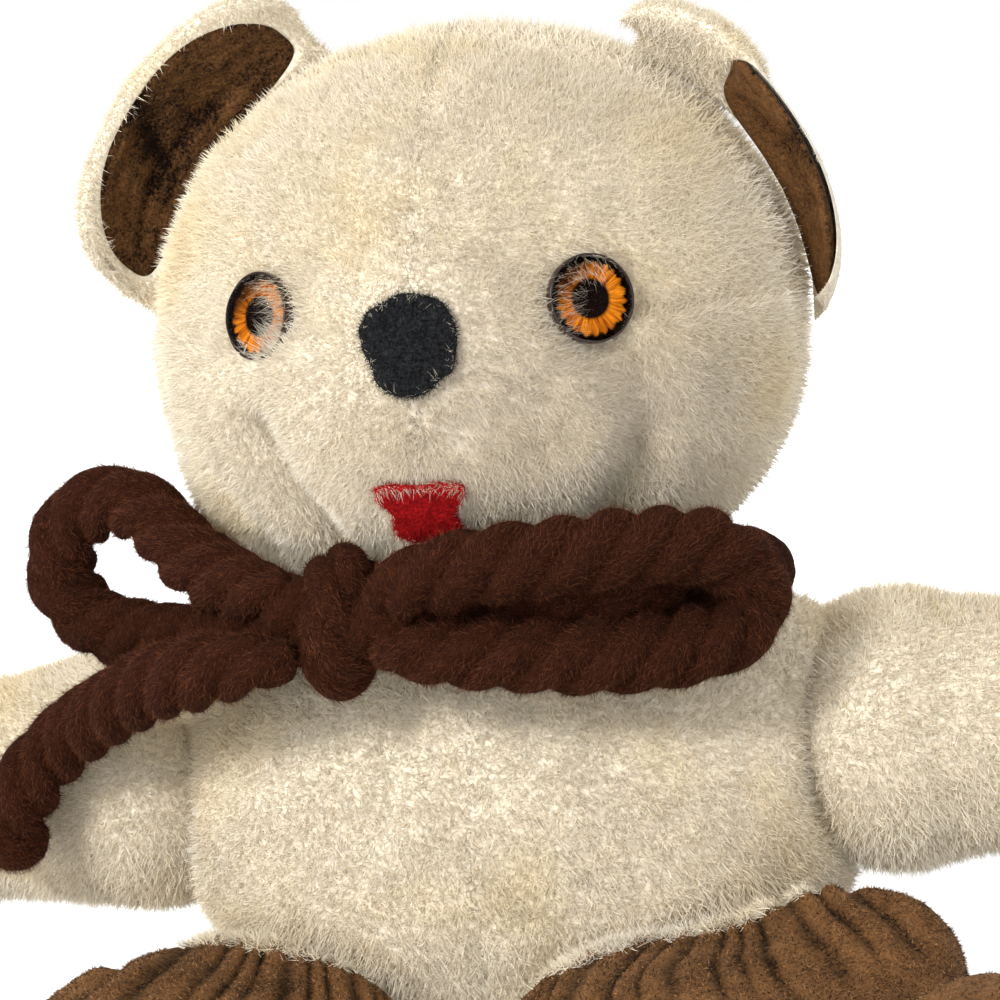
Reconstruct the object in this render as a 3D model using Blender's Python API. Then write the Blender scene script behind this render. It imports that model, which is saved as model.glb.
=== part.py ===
"""Sitting teddy bear of plush and velveteen with a tie of thick wool roving.

Metres, +Z up. The bear faces -Y and its own left side is at +X.
The origin is the centre of the flat patch that it sits on.
"""

from math import cos, exp, pi, radians, sin, sqrt

import bmesh
import bpy
from mathutils import Vector

MM = 0.001

# Fits and walls
GAP = 0.3 * MM
WALL = 5 * MM
WAD_GAP = 0.9 * MM
FLAT_DEPTH = 0.5 * MM

# Body
BODY_WIDTH = 194 * MM
BODY_DEPTH = 140 * MM
BODY_BELOW_WAIST = 84 * MM
BODY_ABOVE_WAIST = 68 * MM
BODY_FULLNESS = 2.4

# Neck, a ball of stuffing that the head turns on
NECK_RADIUS = 44 * MM
NECK_SINK = 1.5 * MM
NECK_HOLE_RADIUS = 24 * MM

# Head
HEAD_WIDTH = 188 * MM
HEAD_DEPTH = 164 * MM
HEAD_HEIGHT = 164 * MM
HEAD_FORWARD = 6 * MM
HEAD_DROP = 5 * MM
HEAD_JOWL_FULLNESS = 2.3
MUZZLE_RISE = 13 * MM
MUZZLE_PITCH = radians(-15)
MUZZLE_SPREAD = radians(32)

# Arms
ARM_ROOT_RADIUS = 39 * MM
ARM_MIDDLE_RADIUS = 34 * MM
ARM_REACH = 90 * MM
ARM_STAND_OUT = 15 * MM
ARM_HOLE_RADIUS = 14 * MM
ARM_TAPER_END = 0.55
SHOULDER_HEIGHT = 97 * MM
SHOULDER_UNEVEN = 4 * MM
ARM_LEFT_RISE = radians(1)
ARM_RIGHT_DROP = radians(5)

# Seam holes in the roots of the limbs, from outside the root's end inwards
ROOT_HOLE_START = 1.2
ROOT_HOLE_END = 0.6

# Legs
LEG_ROOT_RADIUS = 33 * MM
LEG_ROOT_HALF_WIDTH = 49 * MM
LEG_PUFF_HALF_WIDTH = 55 * MM
LEG_ANKLE_HALF_WIDTH = 33 * MM
LEG_ANKLE_HALF_HEIGHT = 29 * MM
LEG_FOOT_HALF_WIDTH = 34 * MM
LEG_FOOT_HALF_HEIGHT = 38 * MM
LEG_REACH = 122 * MM
LEG_HOLE_RADIUS = 16 * MM
LEG_STAND_OUT = 0.64
LEG_AZIMUTH = radians(44)
LEG_SPLAY = radians(34)
LEG_UNEVEN = radians(7)
LEG_ROLL = radians(20)
SOLE_THICKNESS = 2.5 * MM
SOLE_MARGIN = 6 * MM

# Ears
EAR_HALF_LENGTH = 47 * MM
EAR_RISE = 42 * MM
EAR_HALF_THICKNESS = 3 * MM
EAR_BEND = radians(62)
EAR_FORWARD_TILT = radians(30)
EAR_UNEVEN_TILT = radians(8)
EAR_AZIMUTH = radians(92)
EAR_ELEVATION = radians(28)
EAR_UNEVEN = radians(3)
EAR_FULLNESS = 2.5
EAR_SEAT = 0.5 * MM
EAR_END = 0.999
EAR_SLOPE_STEP = 0.02
LINING_THICKNESS = 1.6 * MM
LINING_MARGIN = 2

# Eyes
EYE_DIAMETER = 24 * MM
EYE_SPACING = 91 * MM
EYE_ABOVE_CENTRE = 7 * MM
EYE_RIM_HEIGHT = 2.2 * MM
EYE_PLATE = 1.6 * MM
EYE_SINK = 1.5 * MM
EYE_DOME = 5 * MM
EYE_EDGE_SHARE = 0.4
LENS_STEPS = 5
IRIS_THICKNESS = 0.7 * MM
RIM_WIDTH = 0.9 * MM
SHANK_RADIUS = 2.2 * MM
SHANK_LENGTH = 10 * MM
WASHER_RADIUS = 8 * MM
WASHER_THICKNESS = 1.2 * MM

# Felt
FELT_THICKNESS = 2 * MM
NOSE_RADIUS = 13 * MM
NOSE_BELOW_CENTRE = 0.5 * MM
NOSE_LIFT = 0.3 * MM
NOSE_POINTS = 20
NOSE_WAVES = ((3, 0.05, 0.6), (5, 0.04, -1.0))
FELT_RINGS = 3
MOUTH_WIDTH = 25 * MM
MOUTH_HEIGHT = 20 * MM
MOUTH_BELOW_CENTRE = 47 * MM
MOUTH_SINK = 0.6 * MM

# Yarn tie
YARN_DIAMETER = 20 * MM
KNOT_HALF_SIZE = Vector((15 * MM, 13 * MM, 20 * MM))

# Thread that closes the back
THREAD_RADIUS = 0.7 * MM
THREAD_SPAN = 74 * MM
THREAD_STITCHES = 8
THREAD_HALF_WIDTH = 3 * MM

# How many flats go round the turned and swelling forms, and how finely searches and routes are stepped
FINE_SIDES = 20
COARSE_SIDES = 12
SOCKET_SIDES = 24
NECK_SIDES = 28
ARM_SIDES = 16
LEG_SIDES = 20
TUBE_SIDES = 2
ROUTE_STEPS = 3
SEARCH_STEPS = 30


def rest_height(half_width, half_height, roll):
    """How high the middle of an oval section lies above the floor when it is rolled by this angle."""
    return sqrt((half_height * cos(roll)) ** 2 + (half_width * sin(roll)) ** 2)


# Heights and centres that follow from the sizes above
WASHER_DEPTH = EYE_SINK + EYE_PLATE + WALL
WAIST_HEIGHT = BODY_BELOW_WAIST - FLAT_DEPTH
NECK_CENTRE = Vector((0, 0, WAIST_HEIGHT + BODY_ABOVE_WAIST - NECK_SINK))
HEAD_CENTRE = Vector((0, -HEAD_FORWARD, NECK_CENTRE.z - HEAD_DROP + HEAD_HEIGHT / 2))
LEG_AXIS_HEIGHT = rest_height(LEG_ROOT_HALF_WIDTH, LEG_ROOT_RADIUS, LEG_ROLL) - FLAT_DEPTH
SAME_POINT = 0.001 * MM


def clear_scene():
    for obj in list(bpy.data.objects):
        bpy.data.objects.remove(obj)


def material(name, colour, roughness, metallic=0.0):
    made = bpy.data.materials.new(name)
    made.use_nodes = True
    shader = made.node_tree.nodes["Principled BSDF"]
    shader.inputs["Base Color"].default_value = (*colour, 1.0)
    shader.inputs["Roughness"].default_value = roughness
    shader.inputs["Metallic"].default_value = metallic
    return made


def add_object(name, points, faces, origin=Vector((0, 0, 0)), look=None):
    """An object whose points are given in world space and whose own origin is at origin."""
    mesh = bpy.data.meshes.new(name)
    mesh.from_pydata([tuple(Vector(p) - origin) for p in points], [], faces)
    shape = bmesh.new()
    shape.from_mesh(mesh)
    bmesh.ops.remove_doubles(shape, verts=shape.verts, dist=SAME_POINT)
    bmesh.ops.dissolve_degenerate(shape, edges=shape.edges, dist=SAME_POINT)
    bmesh.ops.triangulate(shape, faces=shape.faces)
    bmesh.ops.recalc_face_normals(shape, faces=shape.faces)
    if shape.calc_volume(signed=True) < 0:
        bmesh.ops.reverse_faces(shape, faces=shape.faces)
    shape.to_mesh(mesh)
    shape.free()
    mesh.shade_smooth()
    obj = bpy.data.objects.new(name, mesh)
    obj.location = origin
    bpy.context.scene.collection.objects.link(obj)
    if look is None:
        obj.hide_render = True
        obj.display_type = "WIRE"
    else:
        mesh.materials.append(look)
    return obj


def combine(obj, other, operation="DIFFERENCE", solver="EXACT"):
    step = obj.modifiers.new(operation.lower(), "BOOLEAN")
    step.operation = operation
    step.solver = solver
    step.object = other


def lofted(rings, first, last):
    """Points and faces of a closed skin over rings of equal count, ending in two single points."""
    count = len(rings[0])
    points = [first, last] + [p for ring in rings for p in ring]
    faces = []
    for i in range(count):
        j = (i + 1) % count
        faces.append((0, 2 + j, 2 + i))
        end = 2 + (len(rings) - 1) * count
        faces.append((1, end + i, end + j))
        for k in range(len(rings) - 1):
            low = 2 + k * count
            high = low + count
            faces.append((low + i, low + j, high + j, high + i))
    return points, faces


def globe(point, fineness, foot=None):
    """A closed skin from point(azimuth, elevation), with its poles up and down.
    Foot adds a lowest ring, by azimuth, round a flat patch."""
    steps = fineness // 2
    azimuths = [2 * pi * (i + 0.5) / fineness for i in range(fineness)]
    rings = [[foot(azimuth) for azimuth in azimuths]] if foot else []
    for k in range(1, steps):
        elevation = -pi / 2 + pi * k / steps
        rings.append([point(azimuth, elevation) for azimuth in azimuths])
    return lofted(rings, point(0, -pi / 2), point(0, pi / 2))


def outside(radius, fineness):
    """The radius of a faceted ball whose faces all lie outside a true ball of this radius."""
    return radius / cos(pi / fineness) ** 2


def direction(azimuth, elevation):
    """Azimuth 0 is the front, -Y, and a quarter turn is the bear's left, +X."""
    flat = cos(elevation)
    return Vector((sin(azimuth) * flat, -cos(azimuth) * flat, sin(elevation)))


def ball(centre, radius, fineness):
    return globe(lambda a, e: centre + direction(a, e) * radius, fineness)


def cylinder(start, end, radius, sides):
    """A closed cylinder between two points."""
    way = (end - start).normalized()
    across = way.orthogonal().normalized()
    up = way.cross(across)
    turn = [across * cos(2 * pi * i / sides) + up * sin(2 * pi * i / sides) for i in range(sides)]
    rings = [[start + t * radius for t in turn], [end + t * radius for t in turn]]
    return lofted(rings, start, end)


# Main forms as functions of direction

def body_point(azimuth, elevation, inset=0.0):
    """A point of the torso, a full pear that is lower above its waist than below it."""
    way = direction(azimuth, elevation)
    height = BODY_ABOVE_WAIST if way.z > 0 else BODY_BELOW_WAIST
    shares = (abs(way.x) / (BODY_WIDTH / 2), abs(way.y) / (BODY_DEPTH / 2), abs(way.z) / height)
    reach = sum(share**BODY_FULLNESS for share in shares) ** (-1 / BODY_FULLNESS)
    return Vector((0, 0, WAIST_HEIGHT)) + way * (reach - inset)


def body_side_point(azimuth, height):
    """The point of the torso's skin at this azimuth and height."""
    rise = height - WAIST_HEIGHT
    limit = BODY_ABOVE_WAIST if rise > 0 else BODY_BELOW_WAIST
    level = (1 - (abs(rise) / limit) ** BODY_FULLNESS) ** (1 / BODY_FULLNESS)
    shares = (abs(sin(azimuth)) / (BODY_WIDTH / 2), abs(cos(azimuth)) / (BODY_DEPTH / 2))
    reach = sum(share**BODY_FULLNESS for share in shares) ** (-1 / BODY_FULLNESS)
    return direction(azimuth, 0) * reach * level + Vector((0, 0, height))


def head_point(azimuth, elevation, inset=0.0):
    """A point of the head, an egg lying on its side with the muzzle as a low dome in front."""
    way = direction(azimuth, elevation)
    halves = (HEAD_WIDTH / 2, HEAD_DEPTH / 2, HEAD_HEIGHT / 2)
    shares = [abs(part) / half for part, half in zip(way, halves)]
    fullness = 2 if way.z > 0 else HEAD_JOWL_FULLNESS
    reach = sum(share**fullness for share in shares) ** (-1 / fullness)
    off_muzzle = way.angle(direction(0, MUZZLE_PITCH))
    reach += MUZZLE_RISE * exp(-((off_muzzle / MUZZLE_SPREAD) ** 2))
    return HEAD_CENTRE + way * (reach - inset)


def head_normal(azimuth, elevation):
    step = radians(1)
    east = head_point(azimuth + step, elevation) - head_point(azimuth - step, elevation)
    north = head_point(azimuth, elevation + step) - head_point(azimuth, elevation - step)
    return east.cross(north).normalized()


# Limbs, each lofted from rings along its own axis

def limb(origin, along, across, up, stations, sides, flat=False):
    """Rings at stations of (distance, half width, half height, lift, roll).
    With flat, nothing reaches below the floor."""
    rings = []
    for distance, wide, high, lift, roll in stations:
        centre = origin + along * distance + up * lift
        wide_way = across * cos(roll) + up * sin(roll)
        high_way = up * cos(roll) - across * sin(roll)
        ring = []
        for i in range(sides):
            turn = 2 * pi * i / sides
            point = centre + wide_way * (wide * cos(turn)) + high_way * (high * sin(turn))
            if flat:
                point.z = max(point.z, 0.0)
            ring.append(point)
        rings.append(ring)
    return rings


def root_stations(radius, half_width, steps, roll):
    """Stations of the round root that turns in its socket, from its inner pole to its middle."""
    found = []
    for k in range(1, steps + 1):
        turn = pi / 2 * k / steps
        found.append((-radius * cos(turn), half_width * sin(turn), radius * sin(turn), 0.0, roll))
    return found


def root_hole(centre, along, root_radius, hole_radius):
    start = centre - along * root_radius * ROOT_HOLE_START
    return cylinder(start, centre - along * root_radius * ROOT_HOLE_END, hole_radius, COARSE_SIDES)


def arm_frame(side):
    """Shoulder, and the directions along, across and up. Side is 1 for the bear's left."""
    height = SHOULDER_HEIGHT + side * SHOULDER_UNEVEN
    shoulder = Vector((side * (BODY_WIDTH / 2 + ARM_STAND_OUT), 0, height))
    rise = ARM_LEFT_RISE if side > 0 else -ARM_RIGHT_DROP
    along = Vector((side * cos(rise), 0, sin(rise)))
    across = Vector((0, side, 0))
    return shoulder, along, across, along.cross(across)


def arm_skin(side, inset, sides):
    shoulder, along, across, up = arm_frame(side)
    root = ARM_ROOT_RADIUS - inset
    middle = ARM_MIDDLE_RADIUS - inset
    stations = root_stations(root, root, sides // 4, 0.0)
    straight = ARM_REACH - ARM_MIDDLE_RADIUS
    stations.append((straight * ARM_TAPER_END, (root + middle) / 2, (root + middle) / 2, 0.0, 0.0))
    tip_steps = sides // 4
    for k in range(tip_steps):
        turn = pi / 2 * k / tip_steps
        narrowed = middle * cos(turn)
        stations.append((straight + middle * sin(turn), narrowed, narrowed, 0.0, 0.0))
    rings = limb(shoulder, along, across, up, stations, sides)
    return lofted(rings, shoulder - along * root, shoulder + along * (straight + middle))


def leg_frame(side):
    """Hip, and the directions along, across and up. Side is 1 for the bear's left."""
    along = direction(side * LEG_SPLAY + LEG_UNEVEN, 0)
    skin = body_side_point(side * LEG_AZIMUTH, LEG_AXIS_HEIGHT)
    hip = skin + along * LEG_ROOT_RADIUS * LEG_STAND_OUT
    up = Vector((0, 0, 1))
    return hip, along, up.cross(along) * side, up


def leg_axis(side):
    """The direction of the hip's seam, which climbs away from the middle of the body."""
    hip, along, across, up = leg_frame(side)
    return across * cos(LEG_ROLL) + up * sin(LEG_ROLL)


def leg_shape():
    """Stations from the puff of gathers to the foot, each resting on the floor."""
    found = []
    ankle_height = (LEG_ROOT_RADIUS + LEG_ANKLE_HALF_HEIGHT) / 2
    shape = (
        (0.14, LEG_ROOT_HALF_WIDTH * 1.03, LEG_ROOT_RADIUS),
        (0.30, LEG_PUFF_HALF_WIDTH, LEG_ROOT_RADIUS),
        (0.48, (LEG_PUFF_HALF_WIDTH + LEG_ANKLE_HALF_WIDTH) / 2, ankle_height),
        (0.66, LEG_ANKLE_HALF_WIDTH, LEG_ANKLE_HALF_HEIGHT),
        (0.80, LEG_FOOT_HALF_WIDTH * 0.97, LEG_FOOT_HALF_HEIGHT * 0.9),
        (0.92, LEG_FOOT_HALF_WIDTH, LEG_FOOT_HALF_HEIGHT),
        (1.00, LEG_FOOT_HALF_WIDTH - SOLE_MARGIN / 2, LEG_FOOT_HALF_HEIGHT - SOLE_MARGIN / 2),
    )
    for share, wide, high in shape:
        roll = LEG_ROLL * (1 - share)
        low = rest_height(wide, high, roll)
        if share == 1:
            low += SOLE_MARGIN / 2
        found.append((LEG_REACH * share, wide, high, low - FLAT_DEPTH - LEG_AXIS_HEIGHT, roll))
    return found


def leg_skin(side, inset, sides):
    """Root, puff of gathers, ankle, and an upright foot that is cut flat for its sole."""
    hip, along, across, up = leg_frame(side)
    root = LEG_ROOT_RADIUS - inset
    stations = root_stations(root, LEG_ROOT_HALF_WIDTH - inset, sides // 4, LEG_ROLL)
    for distance, wide, high, lift, roll in leg_shape():
        reach = min(distance, LEG_REACH - inset)
        stations.append((reach, wide - inset, high - inset, lift, roll))
    rings = limb(hip, along, across, up, stations, sides, flat=inset == 0)
    end = stations[-1]
    return lofted(rings, hip - along * root, hip + along * end[0] + up * end[3])


def leg_socket(side, clearance, fineness):
    """The space that the leg's round root turns in, a barrel about the hip's axis."""
    hip, along, across, up = leg_frame(side)
    axis = leg_axis(side)
    rise = axis.cross(along)
    radius = outside(LEG_ROOT_RADIUS + clearance, fineness)
    half_width = outside(LEG_ROOT_HALF_WIDTH + clearance, fineness)

    def point(azimuth, elevation):
        way = direction(azimuth, elevation)
        return hip + (along * way.x + rise * -way.y) * radius + axis * way.z * half_width

    return globe(point, fineness)


# Ears, cupped leaves that stand on a line along the head

def ear_frame(side):
    """Seat on the head, and the directions along the seam, out of the head and forward."""
    azimuth = side * EAR_AZIMUTH
    elevation = EAR_ELEVATION - side * EAR_UNEVEN
    out = head_normal(azimuth, elevation)
    front = direction(0, 0)
    front = (front - out * front.dot(out)).normalized()
    seam = out.cross(front).normalized()
    seat = head_point(azimuth, elevation) + out * EAR_SEAT
    return seat, seam, out, front


def head_drop_along(side, offset):
    """How far the head's skin falls away below the ear's seam at this offset from its middle."""
    seat, seam, out, front = ear_frame(side)
    away = seat + seam * offset
    low = 0.0
    high = HEAD_WIDTH / 2
    for _ in range(SEARCH_STEPS):
        middle = (low + high) / 2
        way = (away - out * middle) - HEAD_CENTRE
        azimuth = way.to_2d().angle_signed(Vector((0, -1)))
        elevation = way.angle(Vector((0, 0, 1)))
        skin = head_point(azimuth, pi / 2 - elevation) - HEAD_CENTRE
        if way.length > skin.length + EAR_SEAT:
            low = middle
        else:
            high = middle
    return low


def ear_middle(side, share, height):
    """A point of the ear's middle surface. Share runs along the seam from -1 to 1, height from 0 to 1."""
    seat, seam, out, front = ear_frame(side)
    offset = share * EAR_HALF_LENGTH
    drop = head_drop_along(side, offset)
    tall = EAR_RISE * (1 - abs(share) ** EAR_FULLNESS) ** (1 / EAR_FULLNESS) + drop
    length = tall * height
    radius = EAR_RISE / EAR_BEND
    turn = length / radius
    up = radius * sin(turn)
    bend = radius * (1 - cos(turn))
    tilt = EAR_FORWARD_TILT + side * EAR_UNEVEN_TILT
    tilt_up = up * cos(tilt) - bend * sin(tilt)
    tilt_forward = up * sin(tilt) + bend * cos(tilt)
    return seat + seam * offset + out * (tilt_up - drop) + front * tilt_forward


def ear_leaf(side, shares, heights, below, above, pinch):
    """A closed leaf between two offsets from the ear's middle surface, pinched to nothing at its edge."""
    columns = []
    for share in shares:
        column = []
        for height in heights:
            here = ear_middle(side, share, height)
            before, after = max(share - EAR_SLOPE_STEP, -EAR_END), min(share + EAR_SLOPE_STEP, EAR_END)
            lower, upper = max(height - EAR_SLOPE_STEP, 0), min(height + EAR_SLOPE_STEP, 1)
            along = ear_middle(side, after, height) - ear_middle(side, before, height)
            rise = ear_middle(side, share, upper) - ear_middle(side, share, lower)
            column.append((here, along.cross(rise).normalized()))
        columns.append(column)
    rows = len(heights)
    points = []
    for offset in (below, above):
        for i, column in enumerate(columns):
            for j, (here, normal) in enumerate(column):
                points.append(here + normal * (offset * pinch(i, j)))
    faces = []
    size = len(columns) * rows
    for i in range(len(columns) - 1):
        for j in range(rows - 1):
            a = i * rows + j
            b = a + rows
            faces.append((a, b, b + 1, a + 1))
            faces.append((size + a, size + a + 1, size + b + 1, size + b))
    border = [i * rows for i in range(len(columns))]
    border += [(len(columns) - 1) * rows + j for j in range(1, rows)]
    border += [i * rows + rows - 1 for i in range(len(columns) - 2, -1, -1)]
    border += [j for j in range(rows - 2, 0, -1)]
    for k, a in enumerate(border):
        b = border[(k + 1) % len(border)]
        faces.append((a, size + a, size + b, b))
    return points, faces


def turned(profile, centre, way, sides):
    """A closed solid turned about way through centre, from (radius, height) points bottom to top."""
    across = way.orthogonal().normalized()
    up = way.cross(across)
    rings = []
    for radius, height in profile:
        ring = []
        for i in range(sides):
            turn = 2 * pi * i / sides
            ring.append(centre + way * height + (across * cos(turn) + up * sin(turn)) * radius)
        rings.append(ring)
    return rings


def solid_of_revolution(profile, centre, way, sides):
    rings = turned(profile, centre, way, sides)
    return lofted(rings, centre + way * profile[0][1], centre + way * profile[-1][1])


def ring_solid(profile, centre, way, sides):
    """A closed ring turned from a profile that never meets its axis."""
    rings = turned(profile, centre, way, sides)
    count = len(rings)
    points = [p for ring in rings for p in ring]
    faces = []
    for k in range(count):
        following = (k + 1) % count
        for i in range(sides):
            j = (i + 1) % sides
            low = k * sides
            high = following * sides
            faces.append((low + i, low + j, high + j, high + i))
    return points, faces


def felt_patch(azimuth, elevation, outline, lift):
    """A felt shape lying on the face. Outline is a list of (right, up) points about its middle."""
    arm = head_point(azimuth, elevation) - HEAD_CENTRE
    points = []
    for offset in (lift, lift + FELT_THICKNESS):
        points.append(head_point(azimuth, elevation, -offset))
        for k in range(1, FELT_RINGS + 1):
            share = k / FELT_RINGS
            for right, up in outline:
                turn = azimuth + right * share / (arm.length * cos(elevation))
                rise = elevation + up * share / arm.length
                points.append(head_point(turn, rise, -offset))
    count = len(outline)
    size = 1 + FELT_RINGS * count
    faces = []
    for i in range(count):
        j = (i + 1) % count
        faces.append((0, 1 + j, 1 + i))
        faces.append((size, size + 1 + i, size + 1 + j))
        for k in range(FELT_RINGS - 1):
            low = 1 + k * count
            high = low + count
            faces.append((low + i, low + j, high + j, high + i))
            faces.append((size + low + i, size + high + i, size + high + j, size + low + j))
        edge = 1 + (FELT_RINGS - 1) * count
        faces.append((edge + i, edge + j, size + edge + j, size + edge + i))
    return points, faces


def smooth_route(route):
    """Points in metres along a smooth curve through a route's own points of (x, y, z, thickness)."""
    points = [Vector((x * MM, y * MM, z * MM, thick)) for x, y, z, thick in route]
    ends = [points[0] * 2 - points[1], *points, points[-1] * 2 - points[-2]]
    found = []
    for p0, p1, p2, p3 in zip(ends, ends[1:], ends[2:], ends[3:]):
        for k in range(ROUTE_STEPS):
            t = k / ROUTE_STEPS
            bend = (p0 * 2 - p1 * 5 + p2 * 4 - p3) * t**2 + (p1 * 3 - p0 - p2 * 3 + p3) * t**3
            found.append((p1 * 2 + (p2 - p0) * t + bend) / 2)
    found.append(points[-1])
    return found


def tube(name, route, radius, look):
    """A tube with filled ends along points of (x, y, z, thickness)."""
    curve = bpy.data.curves.new(name, "CURVE")
    curve.dimensions = "3D"
    curve.bevel_depth = radius
    curve.bevel_resolution = TUBE_SIDES
    curve.use_fill_caps = True
    spline = curve.splines.new("POLY")
    spline.points.add(len(route) - 1)
    for point, place in zip(spline.points, route):
        point.co = (place[0], place[1], place[2], 1.0)
        point.radius = place[3]
    curve.materials.append(look)
    obj = bpy.data.objects.new(name, curve)
    bpy.context.scene.collection.objects.link(obj)
    return obj


# The pieces

def make_body(plush, stuffing):
    def skin(inset):
        return lambda a, e: body_point(a, e, inset)

    def seated_skin(azimuth, elevation):
        point = body_point(azimuth, elevation)
        return Vector((point.x, point.y, max(point.z, 0.0)))

    cover_skin = globe(seated_skin, FINE_SIDES, lambda azimuth: body_side_point(azimuth, 0.0))
    cover = add_object("body_cover", *cover_skin, look=plush)
    neck = add_object("neck_form", *ball(NECK_CENTRE, NECK_RADIUS, NECK_SIDES))
    combine(cover, neck, "UNION", "MANIFOLD")
    cavity = add_object("body_cavity_form", *globe(skin(WALL), COARSE_SIDES))
    wad = add_object("body_stuffing", *globe(skin(WALL + WAD_GAP), COARSE_SIDES), look=stuffing)
    for obj, inset, what in ((cavity, WALL, "cavity"), (wad, WALL + WAD_GAP, "wad")):
        inner_neck = ball(NECK_CENTRE, NECK_RADIUS - inset, COARSE_SIDES)
        combine(obj, add_object(f"neck_{what}_form", *inner_neck), "UNION", "MANIFOLD")
    for side, word in ((1, "left"), (-1, "right")):
        shoulder = arm_frame(side)[0]
        for obj, clearance, fineness, what in (
            (cover, GAP, SOCKET_SIDES, "socket"),
            (cavity, GAP + WALL, COARSE_SIDES, "cavity_wall"),
            (wad, GAP + WALL + WAD_GAP, COARSE_SIDES, "wad_wall"),
        ):
            arm = ball(shoulder, outside(ARM_ROOT_RADIUS + clearance, fineness), fineness)
            combine(obj, add_object(f"arm_{word}_{what}_form", *arm), solver="MANIFOLD")
            leg = leg_socket(side, clearance, fineness)
            combine(obj, add_object(f"leg_{word}_{what}_form", *leg), solver="MANIFOLD")
    combine(cover, cavity, solver="MANIFOLD")
    top = NECK_CENTRE + Vector((0, 0, NECK_RADIUS * 2))
    hole = cylinder(NECK_CENTRE + Vector((0, 0, NECK_RADIUS * 0.5)), top, NECK_HOLE_RADIUS, COARSE_SIDES)
    combine(cover, add_object("neck_hole_form", *hole), solver="MANIFOLD")


def eye_frame(side):
    """The eye's seat on the face and its outward direction."""
    elevation = EYE_ABOVE_CENTRE / (HEAD_DEPTH / 2)
    low = 0.0
    high = pi / 2
    for _ in range(SEARCH_STEPS):
        middle = (low + high) / 2
        if head_point(middle, elevation).x < EYE_SPACING / 2:
            low = middle
        else:
            high = middle
    azimuth = side * low
    return head_point(azimuth, elevation), head_normal(azimuth, elevation)


def make_head(plush, stuffing):
    cover = add_object("head_cover", *globe(head_point, FINE_SIDES), origin=NECK_CENTRE, look=plush)
    cavity = add_object("head_cavity_form", *globe(lambda a, e: head_point(a, e, WALL), COARSE_SIDES))
    wad_skin = globe(lambda a, e: head_point(a, e, WALL + WAD_GAP), COARSE_SIDES)
    wad = add_object("head_stuffing", *wad_skin, origin=NECK_CENTRE, look=stuffing)
    for obj, clearance, fineness, what in (
        (cover, GAP, NECK_SIDES, "socket"),
        (cavity, GAP + WALL, COARSE_SIDES, "cavity_wall"),
        (wad, GAP + WALL + WAD_GAP, COARSE_SIDES, "wad_wall"),
    ):
        socket = ball(NECK_CENTRE, outside(NECK_RADIUS + clearance, fineness), fineness)
        combine(obj, add_object(f"head_{what}_form", *socket))
    combine(cover, cavity)
    top = NECK_CENTRE + Vector((0, 0, NECK_RADIUS * 2))
    hole = cylinder(NECK_CENTRE, top, NECK_HOLE_RADIUS, COARSE_SIDES)
    combine(cover, add_object("head_hole_form", *hole))
    for side, word in ((1, "left"), (-1, "right")):
        seat, way = eye_frame(side)
        rim = outside(EYE_DIAMETER / 2 + GAP, FINE_SIDES)
        floor = seat - way * (EYE_SINK + EYE_PLATE + GAP)
        pocket = cylinder(floor, seat + way * EYE_DIAMETER, rim, FINE_SIDES)
        combine(cover, add_object(f"eye_{word}_pocket_form", *pocket))
        shank_end = seat - way * (SHANK_LENGTH * 2)
        bore = cylinder(shank_end, seat, outside(SHANK_RADIUS + GAP, COARSE_SIDES), COARSE_SIDES)
        combine(cover, add_object(f"eye_{word}_bore_form", *bore))
        washer_top = seat - way * (WASHER_DEPTH - GAP)
        room_radius = outside(WASHER_RADIUS + WAD_GAP, COARSE_SIDES)
        room = cylinder(shank_end, washer_top, room_radius, COARSE_SIDES)
        combine(cover, add_object(f"eye_{word}_room_form", *room))
        well = cylinder(shank_end, seat, room_radius, COARSE_SIDES)
        combine(wad, add_object(f"eye_{word}_well_form", *well))


def make_eye(side, word, looks):
    lens_look, iris_look, backing_look, washer_look = looks
    seat, way = eye_frame(side)
    centre = seat - way * EYE_SINK
    rim = EYE_DIAMETER / 2
    inner = rim - RIM_WIDTH
    backing = (
        (SHANK_RADIUS, -EYE_PLATE - SHANK_LENGTH),
        (SHANK_RADIUS, -EYE_PLATE),
        (inner, -EYE_PLATE),
        (rim, -EYE_PLATE * EYE_EDGE_SHARE),
        (rim, EYE_RIM_HEIGHT),
        (inner, EYE_RIM_HEIGHT),
        (inner, 0.0),
    )
    backing_solid = solid_of_revolution(backing, centre, way, FINE_SIDES)
    add_object(f"eye_{word}_backing", *backing_solid, origin=NECK_CENTRE, look=backing_look)
    iris_radius = inner * cos(pi / FINE_SIDES) - GAP
    iris = ((iris_radius, GAP), (iris_radius, GAP + IRIS_THICKNESS))
    iris_solid = solid_of_revolution(iris, centre, way, FINE_SIDES)
    add_object(f"eye_{word}_iris", *iris_solid, origin=NECK_CENTRE, look=iris_look)
    base = GAP * 2 + IRIS_THICKNESS
    lens = [(iris_radius, base)]
    dome_base = base + EYE_RIM_HEIGHT * EYE_EDGE_SHARE
    for k in range(LENS_STEPS):
        turn = pi / 2 * k / LENS_STEPS
        lens.append((iris_radius * cos(turn), dome_base + EYE_DOME * sin(turn)))
    lens_solid = solid_of_revolution(lens, centre, way, FINE_SIDES)
    add_object(f"eye_{word}_lens", *lens_solid, origin=NECK_CENTRE, look=lens_look)
    bore = outside(SHANK_RADIUS, COARSE_SIDES) + GAP
    top = EYE_SINK - WASHER_DEPTH
    washer = (
        (bore, top),
        (bore, top - WASHER_THICKNESS),
        (WASHER_RADIUS, top - WASHER_THICKNESS),
        (WASHER_RADIUS, top),
    )
    washer_solid = ring_solid(washer, centre, way, COARSE_SIDES)
    add_object(f"eye_{word}_washer", *washer_solid, origin=NECK_CENTRE, look=washer_look)


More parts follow.
